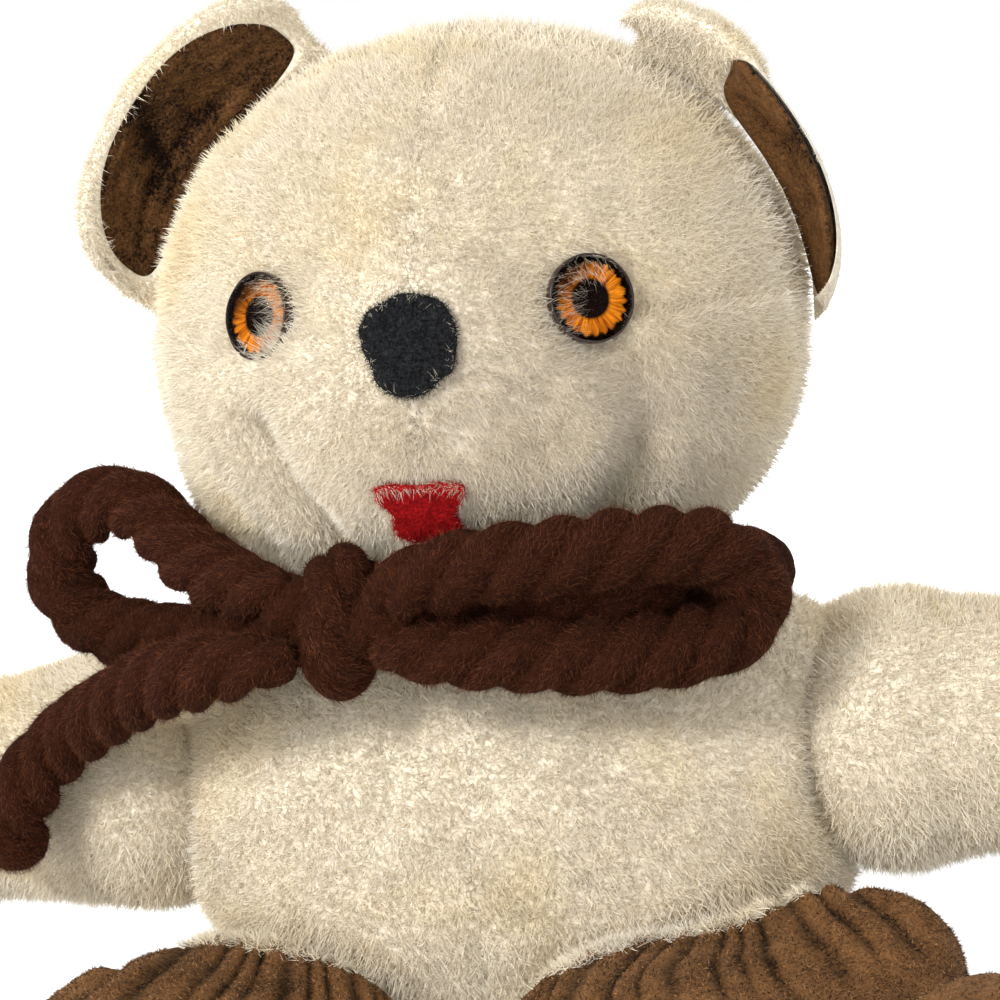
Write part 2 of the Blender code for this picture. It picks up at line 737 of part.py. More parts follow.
def nose_outline():
    """A round of felt cut by hand, with a corner at its left and a notch at its lower right."""
    found = []
    for i in range(NOSE_POINTS):
        turn = 2 * pi * i / NOSE_POINTS
        reach = 1 + sum(depth * cos(times * turn + start) for times, depth, start in NOSE_WAVES)
        found.append((NOSE_RADIUS * reach * cos(turn), NOSE_RADIUS * reach * sin(turn)))
    return found


def mouth_outline():
    """A wide upper lip, a waist, and a rounded lower lip."""
    half = (
        (0.00, 0.47),
        (0.30, 0.50),
        (0.50, 0.44),
        (0.50, 0.26),
        (0.38, 0.10),
        (0.34, 0.00),
        (0.40, -0.16),
        (0.40, -0.34),
        (0.24, -0.48),
    )
    right = [(x * MOUTH_WIDTH, y * MOUTH_HEIGHT) for x, y in half]
    left = [(-x, y) for x, y in reversed(right[1:])]
    return list(reversed(right + [(0.0, -0.5 * MOUTH_HEIGHT)] + left))


def make_face(nose_look, mouth_look):
    nose = felt_patch(0, -NOSE_BELOW_CENTRE / (HEAD_DEPTH / 2), nose_outline(), NOSE_LIFT)
    add_object("nose_felt", *nose, origin=NECK_CENTRE, look=nose_look)
    mouth_elevation = -MOUTH_BELOW_CENTRE / (HEAD_DEPTH / 2 + MUZZLE_RISE)
    mouth = felt_patch(0, mouth_elevation, mouth_outline(), -MOUTH_SINK)
    add_object("mouth_felt", *mouth, origin=NECK_CENTRE, look=mouth_look)


def make_ear(side, word, plush, velvet):
    seat = ear_frame(side)[0]
    columns = 12
    shares = [-EAR_END * cos(pi * k / columns) for k in range(columns + 1)]
    heights = [0.0, 0.04, 0.12, 0.22, 0.37, 0.52, 0.68, 0.84, 0.93, 0.98, 1.0]
    last = len(heights) - 1
    roundness = {0: 0.0, 1: 0.5, last - 1: 0.66, last: 0.0}

    def pinch(i, j):
        return roundness.get(j, 1.0) * sin(pi * (0.02 + 0.96 * i / columns)) ** 0.5

    leaf = ear_leaf(side, shares, heights, -EAR_HALF_THICKNESS, EAR_HALF_THICKNESS, pinch)
    add_object(f"ear_{word}_plush", *leaf, origin=seat, look=plush)
    low = EAR_HALF_THICKNESS + GAP * 2
    high = low + LINING_THICKNESS
    inner_shares = shares[LINING_MARGIN:-LINING_MARGIN]
    inner_heights = heights[LINING_MARGIN + 1:-LINING_MARGIN - 1]
    lining = ear_leaf(side, inner_shares, inner_heights, low, high, lambda i, j: 1.0)
    add_object(f"ear_{word}_lining", *lining, origin=seat, look=velvet)


def make_arm(side, word, plush, stuffing):
    shoulder, along, across, up = arm_frame(side)
    cover = add_object(f"arm_{word}_cover", *arm_skin(side, 0.0, ARM_SIDES), origin=shoulder, look=plush)
    cavity = add_object(f"arm_{word}_cavity_form", *arm_skin(side, WALL, COARSE_SIDES))
    combine(cover, cavity)
    hole = root_hole(shoulder, along, ARM_ROOT_RADIUS, ARM_HOLE_RADIUS)
    combine(cover, add_object(f"arm_{word}_hole_form", *hole))
    wad = arm_skin(side, WALL + WAD_GAP, COARSE_SIDES)
    add_object(f"arm_{word}_stuffing", *wad, origin=shoulder, look=stuffing)


def make_leg(side, word, velvet, stuffing, sole_look):
    hip, along, across, up = leg_frame(side)
    cover = add_object(f"leg_{word}_cover", *leg_skin(side, 0.0, LEG_SIDES), origin=hip, look=velvet)
    cavity = add_object(f"leg_{word}_cavity_form", *leg_skin(side, WALL, COARSE_SIDES))
    combine(cover, cavity)
    hole = root_hole(hip, along, LEG_ROOT_RADIUS, LEG_HOLE_RADIUS)
    combine(cover, add_object(f"leg_{word}_hole_form", *hole))
    wad = leg_skin(side, WALL + WAD_GAP, COARSE_SIDES)
    add_object(f"leg_{word}_stuffing", *wad, origin=hip, look=stuffing)
    foot = hip + along * (LEG_REACH + GAP) + up * leg_shape()[-1][3]
    wide = LEG_FOOT_HALF_WIDTH - SOLE_MARGIN
    high = LEG_FOOT_HALF_HEIGHT - SOLE_MARGIN
    stations = (
        (0.0, wide, high, 0.0, 0.0),
        (SOLE_THICKNESS * 0.7, wide, high, 0.0, 0.0),
        (SOLE_THICKNESS, wide * 0.94, high * 0.94, 0.0, 0.0),
    )
    rings = limb(foot, along, across, up, stations, LEG_SIDES)
    pad = lofted(rings, foot, foot + along * SOLE_THICKNESS)
    add_object(f"sole_{word}", *pad, origin=hip, look=sole_look)


# The tie's routes, chosen by hand: x, y and z in millimetres, then thickness as a share of the yarn's

NECK_ROUTE = (
    (-24, -62, 145.5, 0.9),
    (8, -62, 139.5, 0.95),
    (42, -56.5, 141.5, 1),
    (67, -27, 146, 1),
    (73, 8, 147, 1),
    (53, 45, 145, 1),
    (19, 62, 141, 1),
    (-19, 62, 141, 1),
    (-53, 45, 145, 1),
    (-73, 8, 147, 1),
    (-67, -27, 146, 1),
    (-47, -52, 144, 0.9),
)

BOW_LEFT_ROUTE = (
    (-12.5, -92, 160, 0.75),
    (-2, -97, 165, 0.9),
    (15, -96, 168, 1),
    (35, -91, 169, 1),
    (54, -81, 169, 1),
    (70, -69, 166, 1),
    (79, -60, 156, 1),
    (77, -60, 144, 1),
    (64, -70, 140, 1),
    (46, -80, 140, 1),
    (26, -86, 142, 1),
    (6, -90, 144, 0.95),
    (-8, -91, 146, 0.85),
    (-13, -91, 147, 0.7),
)

BOW_RIGHT_ROUTE = (
    (-43.6, -81, 160, 0.6),
    (-53, -76, 160, 0.85),
    (-65, -67, 162, 1),
    (-76, -59, 167, 1),
    (-86, -51, 175, 1),
    (-97, -45, 181, 1),
    (-111, -41, 179, 1),
    (-120, -39, 169, 1),
    (-120, -39, 156, 1),
    (-110, -42, 146, 1),
    (-92, -50, 143, 1),
    (-72, -61, 144.5, 0.95),
    (-55, -71, 148, 0.8),
    (-44, -77, 151, 0.6),
)

TAIL_ROUTE = (
    (-41.5, -91.5, 143.5, 0.6),
    (-52, -92, 143, 0.8),
    (-65, -88, 140.5, 1),
    (-81, -79, 136, 1),
    (-98, -67, 128, 1),
    (-112, -57, 120, 1),
    (-123, -51, 112, 1),
    (-132, -50, 103, 1),
    (-138, -50, 92, 1),
    (-139, -50, 82, 1),
)

KNOT_CENTRE = Vector((-28 * MM, -83 * MM, 152 * MM))


def make_tie(yarn):
    radius = YARN_DIAMETER / 2
    tube("yarn_neck_wrap", smooth_route(NECK_ROUTE), radius, yarn)
    tube("yarn_bow_left", smooth_route(BOW_LEFT_ROUTE), radius, yarn)
    tube("yarn_bow_right", smooth_route(BOW_RIGHT_ROUTE), radius, yarn)
    tube("yarn_tail", smooth_route(TAIL_ROUTE), radius, yarn)

    def knot_point(azimuth, elevation):
        way = direction(azimuth, elevation)
        return KNOT_CENTRE + Vector(w * s for w, s in zip(way, KNOT_HALF_SIZE))

    add_object("yarn_knot", *globe(knot_point, FINE_SIDES), look=yarn)


def make_back_thread(thread):
    """Ladder stitches down the middle of the back."""
    route = []
    count = THREAD_STITCHES * 2
    for k in range(count + 1):
        height = WAIST_HEIGHT - THREAD_SPAN / 2 + THREAD_SPAN * k / count
        aside = THREAD_HALF_WIDTH if (k // 2) % 2 else -THREAD_HALF_WIDTH
        skin = body_side_point(pi, height)
        back = skin.y + THREAD_RADIUS + GAP
        route.append((aside, back, height, 1.0))
    tube("back_seam_thread", route, THREAD_RADIUS, thread)


def main():
    clear_scene()
    plush = material("cream_plush", (0.72, 0.62, 0.46), 0.9)
    velvet = material("brown_velveteen", (0.12, 0.055, 0.02), 0.8)
    stuffing = material("cotton_stuffing", (0.7, 0.66, 0.58), 0.95)
    yarn = material("brown_wool_roving", (0.05, 0.017, 0.009), 1.0)
    nose_look = material("black_felt", (0.012, 0.013, 0.018), 1.0)
    mouth_look = material("red_felt", (0.5, 0.012, 0.02), 1.0)
    eye_looks = (
        material("amber_lens", (0.6, 0.16, 0.01), 0.08),
        material("sunburst_iris", (0.8, 0.25, 0.02), 0.35),
        material("dark_plastic", (0.02, 0.008, 0.004), 0.3),
        material("steel_washer", (0.5, 0.5, 0.5), 0.35, 1.0),
    )
    thread = material("cream_thread", (0.68, 0.6, 0.46), 0.7)
    make_body(plush, stuffing)
    make_head(plush, stuffing)
    make_face(nose_look, mouth_look)
    for side, word in ((1, "left"), (-1, "right")):
        make_eye(side, word, eye_looks)
        make_ear(side, word, plush, velvet)
        make_arm(side, word, plush, stuffing)
        make_leg(side, word, velvet, stuffing, velvet)
    make_tie(yarn)
    make_back_thread(thread)


main()
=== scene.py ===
"""A sitting teddy bear of cream plush and brown velveteen, with a tie of thick wool roving.

Metres, +Z up. The bear faces -Y and its own left side is at +X.
"""

from math import cos, pi, radians, sin, sqrt

import bmesh
import bpy
import numpy as np
from mathutils import Matrix, Vector, kdtree, noise


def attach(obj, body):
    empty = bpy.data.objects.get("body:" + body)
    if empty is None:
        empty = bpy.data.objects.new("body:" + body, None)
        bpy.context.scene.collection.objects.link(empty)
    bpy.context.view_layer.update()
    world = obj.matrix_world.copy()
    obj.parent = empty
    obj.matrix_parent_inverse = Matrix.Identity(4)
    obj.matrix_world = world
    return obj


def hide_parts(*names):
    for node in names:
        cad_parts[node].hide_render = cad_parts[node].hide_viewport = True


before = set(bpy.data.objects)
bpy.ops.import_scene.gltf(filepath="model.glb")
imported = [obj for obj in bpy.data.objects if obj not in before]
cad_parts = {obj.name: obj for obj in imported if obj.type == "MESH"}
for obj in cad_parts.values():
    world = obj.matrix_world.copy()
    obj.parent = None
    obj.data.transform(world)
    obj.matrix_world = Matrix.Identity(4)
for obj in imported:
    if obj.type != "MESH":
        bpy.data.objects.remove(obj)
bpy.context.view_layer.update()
MM = 0.001

# Sizes shared with the solids
GAP = 0.3 * MM
BODY_WIDTH, BODY_DEPTH = 194 * MM, 140 * MM
BODY_BELOW_WAIST, BODY_ABOVE_WAIST = 84 * MM, 68 * MM
BODY_FULLNESS = 2.4
WAIST = np.array((0, 0, 83.5)) * MM
NECK = np.array((0, 0, 150.0)) * MM
NECK_RADIUS = 44 * MM
HEAD = np.array((0, -6.0, 227)) * MM
HEAD_HALF = np.array((94.0, 82, 82)) * MM
HEAD_JOWL_FULLNESS = 2.3
MUZZLE_RISE, MUZZLE_PITCH, MUZZLE_SPREAD = 13 * MM, radians(-15), radians(32)
ARM_ROOT_RADIUS, ARM_MIDDLE_RADIUS = 39 * MM, 34 * MM
ARM_REACH = 90 * MM
LEG_ROOT_RADIUS, LEG_ROOT_HALF_WIDTH, LEG_PUFF_HALF_WIDTH = 33 * MM, 49 * MM, 55 * MM
LEG_ANKLE_HALF_WIDTH, LEG_ANKLE_HALF_HEIGHT = 33 * MM, 29 * MM
LEG_FOOT_HALF_WIDTH, LEG_FOOT_HALF_HEIGHT = 34 * MM, 38 * MM
LEG_REACH = 122 * MM
LEG_ROLL = radians(20)
LEG_STAND_OUT = 0.64
LEG_AZIMUTH, LEG_SPLAY, LEG_UNEVEN = radians(44), radians(34), radians(7)
FLAT_DEPTH = 0.5 * MM
YARN_DIAMETER = 20 * MM
KNOT = np.array((-28.0, -83, 152)) * MM

# The picture's camera
CAMERA_AZIMUTH, CAMERA_ELEVATION, CAMERA_ROLL = radians(12), radians(8), radians(4)
CAMERA_TARGET = Vector((0, 0, 0.171))
CAMERA_DISTANCE, CAMERA_LENS = 0.9, 111.8
CAMERA_LOOK = np.array((-sin(CAMERA_AZIMUTH) * cos(CAMERA_ELEVATION), cos(CAMERA_AZIMUTH) * cos(CAMERA_ELEVATION),
                        -sin(CAMERA_ELEVATION)))

SIDES = ((1, "left"), (-1, "right"))
UP = np.array((0, 0, 1.0))
# How far the cloth lies inside the solid, so that the fur ends near its surface
FUR_ROOM = 3.0 * MM


# Meshes

def direction(azimuth, elevation):
    """Azimuth 0 is the front, -Y, and a quarter turn is the bear's left, +X."""
    flat = np.cos(elevation)
    return np.stack([np.sin(azimuth) * flat, -np.cos(azimuth) * flat, np.sin(elevation) + 0 * azimuth], -1)


def full_turn(count):
    """The angles of count even steps round a circle."""
    return np.arange(count) * 2 * pi / count


def in_metres(route):
    return [tuple(np.array(p) * MM) for p in route]


def add_object(name, data):
    obj = bpy.data.objects.new(name, data)
    bpy.context.scene.collection.objects.link(obj)
    return obj


def piece(name, points, faces, look):
    """A smooth mesh object with its place in its points."""
    mesh = bpy.data.meshes.new(name)
    mesh.from_pydata([tuple(map(float, p)) for p in points], [], [tuple(map(int, f)) for f in faces])
    mesh.materials.append(LOOKS[look])
    mesh.shade_smooth()
    return add_object(name, mesh)


def face_outwards(obj, weld=True):
    """Turns the faces of a closed skin outwards, with doubled points welded first."""
    shape = bmesh.new()
    shape.from_mesh(obj.data)
    if weld:
        bmesh.ops.remove_doubles(shape, verts=shape.verts, dist=0.001 * MM)
        bmesh.ops.recalc_face_normals(shape, faces=shape.faces)
    if shape.calc_volume(signed=True) < 0:
        bmesh.ops.reverse_faces(shape, faces=shape.faces)
    shape.to_mesh(obj.data)
    shape.free()
    return obj


def globe_directions(fineness):
    """Evenly spread directions and the triangles between them."""
    shape = bmesh.new()
    bmesh.ops.create_icosphere(shape, subdivisions=fineness, radius=1)
    ways = np.array([v.co for v in shape.verts])
    faces = [[v.index for v in f.verts] for f in shape.faces]
    shape.free()
    return ways, faces


def tube_faces(rows, count, closed=False):
    """The faces between rings of count points, and from the last ring to the first if closed."""
    faces = []
    for k in range(rows if closed else rows - 1):
        here, after = k * count, (k + 1) % rows * count
        for i in range(count):
            j = (i + 1) % count
            faces.append((here + i, here + j, after + j, after + i))
    return faces


def loft(rings, first, last):
    """Points and faces of a closed skin over rings of equal count, ending in two single points."""
    rings = np.asarray(rings)
    rows, count = rings.shape[:2]
    points = np.vstack([rings.reshape(-1, 3), [first, last]])
    faces = tube_faces(rows, count)
    for i in range(count):
        j = (i + 1) % count
        faces.append((rows * count, j, i))
        faces.append((rows * count + 1, (rows - 1) * count + i, (rows - 1) * count + j))
    return points, faces


def lumps(points, size, seed=0, detail=2):
    """Smooth noise from -1 to 1 at each point, with lumps about as wide as size."""
    place = Vector((seed * 7.1, seed * 3.7, seed * 5.3))
    return np.array([noise.fractal(Vector(p) / size + place, 1.0, 2.0, detail) for p in points])


def smooth_step(value, low, high):
    t = np.clip((value - low) / (high - low), 0, 1)
    return t * t * (3 - 2 * t)


def bump_at(points, centre, radius):
    """A soft bump of height 1 about centre."""
    off = np.linalg.norm((points - np.array(centre)) / np.array(radius), axis=-1)
    return np.exp(-(off**2))


def crease(points, route, width):
    """1 along a line of points, falling off within width."""
    near = np.full(len(points), 1e9)
    for a, b in zip(route, route[1:]):
        a, b = np.array(a, float), np.array(b, float)
        t = np.clip(((points - a) @ (b - a)) / ((b - a) @ (b - a)), 0, 1)
        near = np.minimum(near, np.linalg.norm(points - a - t[:, None] * (b - a), axis=1))
    return np.exp(-((near / width) ** 2))


def nearest(points, others):
    """How far each point is from the nearest of the points in others, a list of groups."""
    flat = [p for group in others for p in group]
    tree = kdtree.KDTree(len(flat))
    for i, p in enumerate(flat):
        tree.insert(Vector(p), i)
    tree.balance()
    return np.array([tree.find(Vector(p))[2] for p in points])


def halved(low, high, beyond, times):
    """The lower side of the last of so many halvings towards where beyond becomes true."""
    for _ in range(times):
        middle = (low + high) / 2
        if beyond(middle):
            high = middle
        else:
            low = middle
    return low


def mark(obj, name, values):
    """A number or a direction at each point, or one for all, that the hair or a material reads."""
    values = np.asarray(values, np.float32)
    kind, key = ("FLOAT_VECTOR", "vector") if values.shape[-1:] == (3,) else ("FLOAT", "value")
    if values.shape in ((), (3,)):
        values = np.broadcast_to(values, (len(obj.data.vertices), *values.shape))
    layer = obj.data.attributes.get(name) or obj.data.attributes.new(name, kind, "POINT")
    layer.data.foreach_set(key, values.ravel())


def mark_hair(skin, grows=1, pile=1, comb=(0, 0, 0)):
    """Where hair grows on a skin, how long it is and which way it is combed."""
    for name, values in (("grow", grows), ("pile", pile), ("comb", comb)):
        mark(skin, name, values)


def drop_marks(skin):
    """Takes the marks that only the hair reads off a skin again."""
    for name in ("grow", "pile", "comb"):
        skin.data.attributes.remove(skin.data.attributes[name])


def points_of(obj, what="co"):
    found = np.zeros(len(obj.data.vertices) * 3)
    obj.data.vertices.foreach_get(what, found)
    return found.reshape(-1, 3)


def set_points(obj, points):
    obj.data.vertices.foreach_set("co", np.asarray(points, np.float32).ravel())
    obj.data.update()


def settle(body, slot, *objects):
    """Every object rides the body. The slot is not used."""
    for obj in objects:
        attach(obj, body)


# The forms that the solids have too

def egg_reach(ways, halves, fullness):
    shares = np.abs(ways) / halves
    return np.sum(shares**fullness, axis=-1) ** (-1 / fullness)


def head_reach(ways):
    reach = np.where(ways[:, 2] > 0, egg_reach(ways, HEAD_HALF, 2), egg_reach(ways, HEAD_HALF, HEAD_JOWL_FULLNESS))
    muzzle = direction(np.array(0.0), np.array(MUZZLE_PITCH))
    off = np.arccos(np.clip(ways @ muzzle, -1, 1))
    return reach + MUZZLE_RISE * np.exp(-((off / MUZZLE_SPREAD) ** 2))


def head_skin_point(azimuth, elevation):
    way = direction(np.array([azimuth]), np.array([elevation]))
    return HEAD + way[0] * head_reach(way)[0]


def head_skin_normal(azimuth, elevation):
    step = radians(1)
    east = head_skin_point(azimuth + step, elevation) - head_skin_point(azimuth - step, elevation)
    north = head_skin_point(azimuth, elevation + step) - head_skin_point(azimuth, elevation - step)
    found = np.cross(east, north)
    return found / np.linalg.norm(found)


def body_reach(ways):
    height = np.where(ways[:, 2] > 0, BODY_ABOVE_WAIST, BODY_BELOW_WAIST)
    halves = np.stack([0 * height + BODY_WIDTH / 2, 0 * height + BODY_DEPTH / 2, height], -1)
    return egg_reach(ways, halves, BODY_FULLNESS)


def body_side(azimuth, height):
    """The point of the torso's skin at this azimuth and height."""
    rise = height - WAIST[2]
    limit = BODY_ABOVE_WAIST if rise > 0 else BODY_BELOW_WAIST
    level = (1 - (abs(rise) / limit) ** BODY_FULLNESS) ** (1 / BODY_FULLNESS)
    flat = direction(np.array([azimuth]), np.array([0.0]))
    halves = np.array((BODY_WIDTH / 2, BODY_DEPTH / 2, 1))
    return flat[0] * egg_reach(flat, halves, BODY_FULLNESS)[0] * level + np.array((0, 0, height))


def rest_height(half_width, half_height, roll):
    """How high the middle of a rolled oval stands above a floor that it touches."""
    return sqrt((half_height * cos(roll)) ** 2 + (half_width * sin(roll)) ** 2)


LEG_AXIS_HEIGHT = rest_height(LEG_ROOT_HALF_WIDTH, LEG_ROOT_RADIUS, LEG_ROLL) - FLAT_DEPTH


def arm_frame(side):
    """The shoulder, the arm's way out, and the two ways across it."""
    shoulder = np.array((side * (BODY_WIDTH / 2 + 15 * MM), 0, 97 * MM + side * 4 * MM))
    rise = radians(1) if side > 0 else -radians(5)
    along = np.array((side * cos(rise), 0, sin(rise)))
    across = np.array((0, side, 0))
    return shoulder, along, across, np.cross(along, across)


def leg_frame(side):
    """The hip, the leg's way out, and the level and upright ways across it."""
    along = direction(np.array(side * LEG_SPLAY + LEG_UNEVEN), np.array(0.0))
    hip = body_side(side * LEG_AZIMUTH, LEG_AXIS_HEIGHT) + along * LEG_ROOT_RADIUS * LEG_STAND_OUT
    return hip, along, np.cross(UP, along) * side, UP


def pressed_in(points, centre, inward, across, up, reach, half_width, half_height):
    """Points inside a round root are pressed back to its inner side, and which they are."""
    off = points - centre
    b, c = off @ across / half_width, off @ up / half_height
    inside = b * b + c * c < 1
    wall = reach * np.sqrt(np.maximum(1 - b * b - c * c, 0))
    depth = off @ inward
    moved = inside & (depth < wall) & (depth > -reach)
    found = points + np.outer(np.where(moved, wall - depth, 0), inward)
    return found, moved


# Node trees

class Flow:
    """What comes out of a node. Sums of flows and numbers add the nodes that work them out."""

    def __init__(self, socket):
        self.socket, self.tree = socket, socket.id_data

    def do(self, how, *others):
        return flow(self.tree, "ShaderNodeMath", {"operation": how}, self, *others)

    def __add__(self, other):
        return self.do("ADD", other)

    def __sub__(self, other):
        return self.do("SUBTRACT", other)

    def __rsub__(self, other):
        return self * -1.0 + other

    def __mul__(self, other):
        return self.do("MULTIPLY", other)

    __radd__, __rmul__ = __add__, __mul__


def wire(tree, value, socket):
    """Links a flow to a socket, or sets the socket to a plain value."""
    if isinstance(value, Flow):
        tree.links.new(value.socket, socket)
    else:
        socket.default_value = value


def node(tree, kind, settings=None, *values, **named_values):
    """A node with its settings, and its inputs in order or by name, each a flow or a plain value."""
    made = tree.nodes.new(kind)
    for key, value in (settings or {}).items():
        setattr(made, key, value)
    for socket, value in zip(made.inputs, values):
        wire(tree, value, socket)
    for key, value in named_values.items():
        wire(tree, value, made.inputs[key.replace("_", " ")])
    return made


def flow(tree, kind, settings=None, *values, output=0, **named_values):
    return Flow(node(tree, kind, settings, *values, **named_values).outputs[output])


def new_tree(name, kind, inputs, outputs):
    """A node tree with inputs (label, kind, value) and outputs (label, kind), and what flows in by label."""
    tree = bpy.data.node_groups.new(name, kind + "NodeTree")
    for label, sort, value in inputs:
        socket = tree.interface.new_socket(label, in_out="INPUT", socket_type="NodeSocket" + sort)
        if value is not None:
            socket.default_value = value
    for label, sort in outputs:
        tree.interface.new_socket(label, in_out="OUTPUT", socket_type="NodeSocket" + sort)
    given = tree.nodes.new("NodeGroupInput")
    return tree, {label: Flow(given.outputs[label]) for label, _, _ in inputs}


def use_group(tree, group, **inputs):
    """What flows out of a shader group, by label."""
    made = node(tree, "ShaderNodeGroup", {"node_tree": group}, **inputs)
    return {socket.name: Flow(socket) for socket in made.outputs}


def mix(share, a, b):
    tree = next(value.tree for value in (share, a, b) if isinstance(value, Flow))
    made = node(tree, "ShaderNodeMix", {"data_type": "RGBA", "blend_type": "MIX"})
    for index, value in ((0, share), (6, a), (7, b)):
        wire(tree, (*value, 1.0) if isinstance(value, tuple) else value, made.inputs[index])
    return Flow(made.outputs[2])


def spread(value, low, high, to_low=0.0, to_high=1.0):
    """The part of value between low and high, spread over to_low to to_high."""
    return flow(value.tree, "ShaderNodeMapRange", {"clamp": True}, value, low, high, to_low, to_high)


def cloud(place, scale, detail=2.0, distortion=0.0, rough=0.5):
    return flow(place.tree, "ShaderNodeTexNoise", Vector=place, Scale=scale, Detail=detail, Roughness=rough,
                Distortion=distortion)


def stretched(place, scale):
    return flow(place.tree, "ShaderNodeVectorMath", {"operation": "MULTIPLY"}, place, scale)


def named(tree, name):
    return flow(tree, "ShaderNodeAttribute", {"attribute_name": name}, output="Fac")


def place_of(tree):
    return flow(tree, "ShaderNodeTexCoord", output="Object")


def bump(height, strength, distance):
    return flow(height.tree, "ShaderNodeBump", Height=height, Strength=strength, Distance=distance)


# Materials. A group puts out what changes over the surface, and each material has its own shader.

def finish_material(name, build, **constants):
    """A material whose Principled shader takes its constants and what build makes, by socket."""
    made = bpy.data.materials.new(name)
    made.use_nodes = True
    made.diffuse_color = (0.5, 0.5, 0.5, 1)
    tree = made.node_tree
    for key, value in {**constants, **build(tree)}.items():
        wire(tree, value, tree.nodes["Principled BSDF"].inputs[key.replace("_", " ")])
    return made


def wear_group():
    """Yellowed and greyed patches of an old cloth, from 0 to 1."""
    tree, given = new_tree("old_cloth_patches", "Shader", (("Place", "Vector", None), ("Size", "Float", 30.0)),
                           (("Yellowed", "Float"), ("Greyed", "Float"), ("Mottled", "Float")))
    place, size = given["Place"], given["Size"]
    shifted = stretched(place, (1.3, -1.1, 0.9))
    node(tree, "NodeGroupOutput",
         Yellowed=spread(cloud(place, size, 3.0, 0.4), 0.48, 0.72),
         Greyed=spread(cloud(shifted, size * 0.8, 4.0, 0.6), 0.5, 0.74),
         Mottled=spread(cloud(place, size * 7.0, 3.0), 0.3, 0.7))
    return tree


def pile_group():
    """Colour of a cut pile from its root, painted darker as shade deep in the pile, to its tip, and how it differs
    from hair to hair.
    """
    tree, given = new_tree(
        "cut_pile", "Shader",
        (("Root", "Color", (0.4, 0.3, 0.2, 1)), ("Tip", "Color", (0.8, 0.7, 0.5, 1)), ("Along", "Float", 0.5),
         ("Odd", "Float", 0.5)),
        (("Color", "Color"), ("Roughness", "Float")))
    colour = mix(spread(given["Along"], 0.0, 0.75), given["Root"], given["Tip"])
    bright = spread(given["Odd"], 0.0, 1.0, 0.84, 1.14)
    node(tree, "NodeGroupOutput",
         Color=flow(tree, "ShaderNodeVectorMath", {"operation": "SCALE"}, colour, Scale=bright),
         Roughness=spread(given["Odd"], 0.0, 1.0, 0.26, 0.62))
    return tree


def weave_group():
    """The knitted backing of plush and velveteen, as a height."""
    tree, given = new_tree("backing_weave", "Shader", (("Place", "Vector", None), ("Threads", "Float", 900.0)),
                           (("Height", "Float"),))
    wale, course = (
        flow(tree, "ShaderNodeTexWave", {"bands_direction": "DIAGONAL"}, output="Fac", Distortion=0.6,
             Vector=stretched(given["Place"], scale), Scale=given["Threads"] * 0.3)
        for scale in ((1.0, 0.35, 0.2), (0.2, 0.3, 1.0)))
    node(tree, "NodeGroupOutput", Height=wale * course)
    return tree


def fibre_group():
    """Matted fibres of felt or wool lying every way, as a height and a light and dark mask."""
    tree, given = new_tree("matted_fibres", "Shader", (("Place", "Vector", None), ("Fineness", "Float", 1200.0)),
                           (("Height", "Float"), ("Mask", "Float")))
    long_ones, cross_ones = (cloud(stretched(given["Place"], scale), given["Fineness"], 3.0, 1.5)
                             for scale in ((1.0, 0.25, 0.4), (0.3, 1.0, 0.9)))
    both = long_ones + cross_ones
    node(tree, "NodeGroupOutput", Height=both * 0.5, Mask=spread(both, 0.75, 1.3))
    return tree


WEAR, PILE, WEAVE, FIBRES = wear_group(), pile_group(), weave_group(), fibre_group()

# The root colour is darker than the tip: painted shade deep in the pile
CREAM_TIP, CREAM_SHADED_ROOT = (0.92, 0.85, 0.71), (0.74, 0.64, 0.47)
CREAM_YELLOW, CREAM_GREY, CREAM_SOILED_AND_SHADED = (0.88, 0.74, 0.46), (0.66, 0.60, 0.50), (0.56, 0.50, 0.42)
# Grey spots on the muzzle and the two cheeks, partly soiling from handling and partly painted shade, with their radius
# and strength
SOILED_AND_SHADED_SPOTS = (((14, -98, 200), 52, 0.75), ((60, -72, 205), 40, 0.7), ((-52, -78, 190), 24, 0.45))


def cream_tone(tree, along, odd):
    """The plush's colour from its root, painted darker as shade, to its tip, with clean, yellowed and greyed patches,
    grey spots that are partly soiling and partly painted shade, and its mottling.
    """
    place = place_of(tree)
    patches = use_group(tree, WEAR, Place=place, Size=22.0)
    tip = mix(patches["Yellowed"] * 0.8, CREAM_TIP, CREAM_YELLOW)
    tip = mix(patches["Greyed"] * 0.45, tip, CREAM_GREY)
    # Grey spots on the muzzle and cheeks: partly soiling and partly painted shade
    for spot, radius, share in SOILED_AND_SHADED_SPOTS:
        off = flow(tree, "ShaderNodeVectorMath", {"operation": "DISTANCE"}, place, tuple(c * MM for c in spot),
                   output="Value")
        tip = mix(spread(off, radius * 0.35 * MM, radius * MM, share, 0.0), tip, CREAM_SOILED_AND_SHADED)
    return use_group(tree, PILE, Root=(*CREAM_SHADED_ROOT, 1), Tip=tip, Along=along, Odd=odd), patches["Mottled"]


def cream_fur(tree):
    pile, _ = cream_tone(tree, named(tree, "along"), named(tree, "odd"))
    return {"Base_Color": pile["Color"], "Roughness": pile["Roughness"]}


def cream_backing(tree):
    place = place_of(tree)
    pile, mottled = cream_tone(tree, 0.55, spread(cloud(place, 700.0, 4.0), 0.3, 0.7))
    weave = use_group(tree, WEAVE, Place=place, Threads=900.0)
    return {"Base_Color": pile["Color"], "Normal": bump(weave["Height"] + mottled * 2.0, 0.5, 0.6 * MM)}


